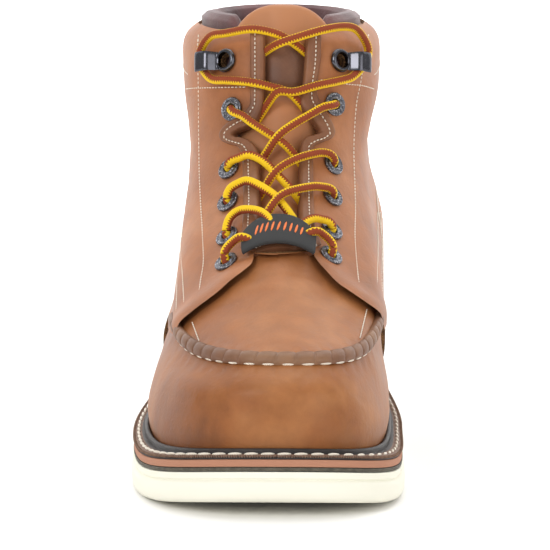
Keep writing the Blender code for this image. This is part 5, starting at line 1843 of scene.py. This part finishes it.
class BOOT_OT_soles(BootOperator):
    """Makes the wedge outsole, the dark layer and the rust midsole"""

    bl_idname = "boot.soles"
    bl_label = "Boot soles"

    def execute(self, context):
        make_soles()
        return {"FINISHED"}


class BOOT_OT_welt(BootOperator):
    """Makes the beaded welt with its stitches and knurled edge"""

    bl_idname = "boot.welt"
    bl_label = "Boot welt"

    def execute(self, context):
        make_welt()
        return {"FINISHED"}


class BOOT_OT_insole(BootOperator):
    """Makes the footbed"""

    bl_idname = "boot.insole"
    bl_label = "Boot footbed"

    def execute(self, context):
        make_insole()
        return {"FINISHED"}


class BOOT_OT_upper(BootOperator):
    """Makes the toe wall and plug with their creases"""

    bl_idname = "boot.upper"
    bl_label = "Boot upper"

    def execute(self, context):
        make_upper()
        return {"FINISHED"}


class BOOT_OT_overlays(BootOperator):
    """Makes the two quarters and the heel counter and cuts the throat"""

    bl_idname = "boot.overlays"
    bl_label = "Boot overlays"

    def execute(self, context):
        make_overlays()
        return {"FINISHED"}


class BOOT_OT_seam(BootOperator):
    """Makes the gathered roll round the toe and its stitches"""

    bl_idname = "boot.seam"
    bl_label = "Boot moc seam"

    def execute(self, context):
        make_seam_roll()
        return {"FINISHED"}


class BOOT_OT_strips(BootOperator):
    """Makes the strips along the throat"""

    bl_idname = "boot.strips"
    bl_label = "Boot throat strips"

    def execute(self, context):
        make_strips()
        return {"FINISHED"}


class BOOT_OT_foot_band(BootOperator):
    """Makes the stitched band over the tongue's foot"""

    bl_idname = "boot.foot_band"
    bl_label = "Boot foot band"

    def execute(self, context):
        make_foot_band()
        return {"FINISHED"}


class BOOT_OT_rows(BootOperator):
    """Sews the rows over the facings, collar and counter"""

    bl_idname = "boot.rows"
    bl_label = "Boot stitching"

    def execute(self, context):
        sewn_rows()
        return {"FINISHED"}


class BOOT_OT_collar(BootOperator):
    """Makes the padded collar lining"""

    bl_idname = "boot.collar"
    bl_label = "Boot collar"

    def execute(self, context):
        make_collar_lining()
        return {"FINISHED"}


class BOOT_OT_tongue(BootOperator):
    """Makes the padded tongue"""

    bl_idname = "boot.tongue"
    bl_label = "Boot tongue"

    def execute(self, context):
        make_tongue()
        return {"FINISHED"}


class BOOT_OT_eyelets(BootOperator):
    """Makes the ten rolled eyelets"""

    bl_idname = "boot.eyelets"
    bl_label = "Boot eyelets"

    def execute(self, context):
        make_eyelets()
        return {"FINISHED"}


class BOOT_OT_hooks(BootOperator):
    """Makes the two speed hooks"""

    bl_idname = "boot.hooks"
    bl_label = "Boot speed hooks"

    def execute(self, context):
        make_hooks()
        return {"FINISHED"}


class BOOT_OT_keeper(BootOperator):
    """Makes the rubber lace keeper"""

    bl_idname = "boot.keeper"
    bl_label = "Boot lace keeper"

    def execute(self, context):
        make_keeper()
        return {"FINISHED"}


class BOOT_OT_laces(BootOperator):
    """Runs the lace through its eyelets and hooks"""

    bl_idname = "boot.laces"
    bl_label = "Boot laces"

    def execute(self, context):
        make_laces()
        return {"FINISHED"}


class BOOT_OT_stage(BootOperator):
    """Makes the floor, the lights and the camera"""

    bl_idname = "boot.stage"
    bl_label = "Boot studio"

    def execute(self, context):
        make_stage()
        return {"FINISHED"}


STEPS = (
    BOOT_OT_materials, BOOT_OT_soles, BOOT_OT_welt, BOOT_OT_insole, BOOT_OT_upper, BOOT_OT_overlays,
    BOOT_OT_seam, BOOT_OT_strips, BOOT_OT_foot_band, BOOT_OT_rows, BOOT_OT_collar, BOOT_OT_tongue,
    BOOT_OT_eyelets,
    BOOT_OT_hooks, BOOT_OT_keeper, BOOT_OT_laces, BOOT_OT_stage,
)


class BOOT_PT_panel(bpy.types.Panel):
    """Lists the boot's sizes and the steps that make it"""

    bl_idname = "BOOT_PT_panel"
    bl_label = "Work Boot"
    bl_space_type = "VIEW_3D"
    bl_region_type = "UI"
    bl_category = "Work Boot"

    def draw(self, context):
        for name in BootSizes.__annotations__:
            self.layout.prop(context.scene.boot_sizes, name)
        for step in STEPS:
            self.layout.operator(step.bl_idname)


def register():
    for cls in (BootSizes,) + STEPS + (BOOT_PT_panel,):
        bpy.utils.register_class(cls)
    bpy.types.Scene.boot_sizes = PointerProperty(type=BootSizes)


def unregister():
    del bpy.types.Scene.boot_sizes
    for cls in (BOOT_PT_panel,) + STEPS[::-1] + (BootSizes,):
        bpy.utils.unregister_class(cls)


def main():
    register()
    for step in STEPS:
        getattr(bpy.ops.boot, step.bl_idname.split(".")[1])()


if __name__ == "__main__":
    main()
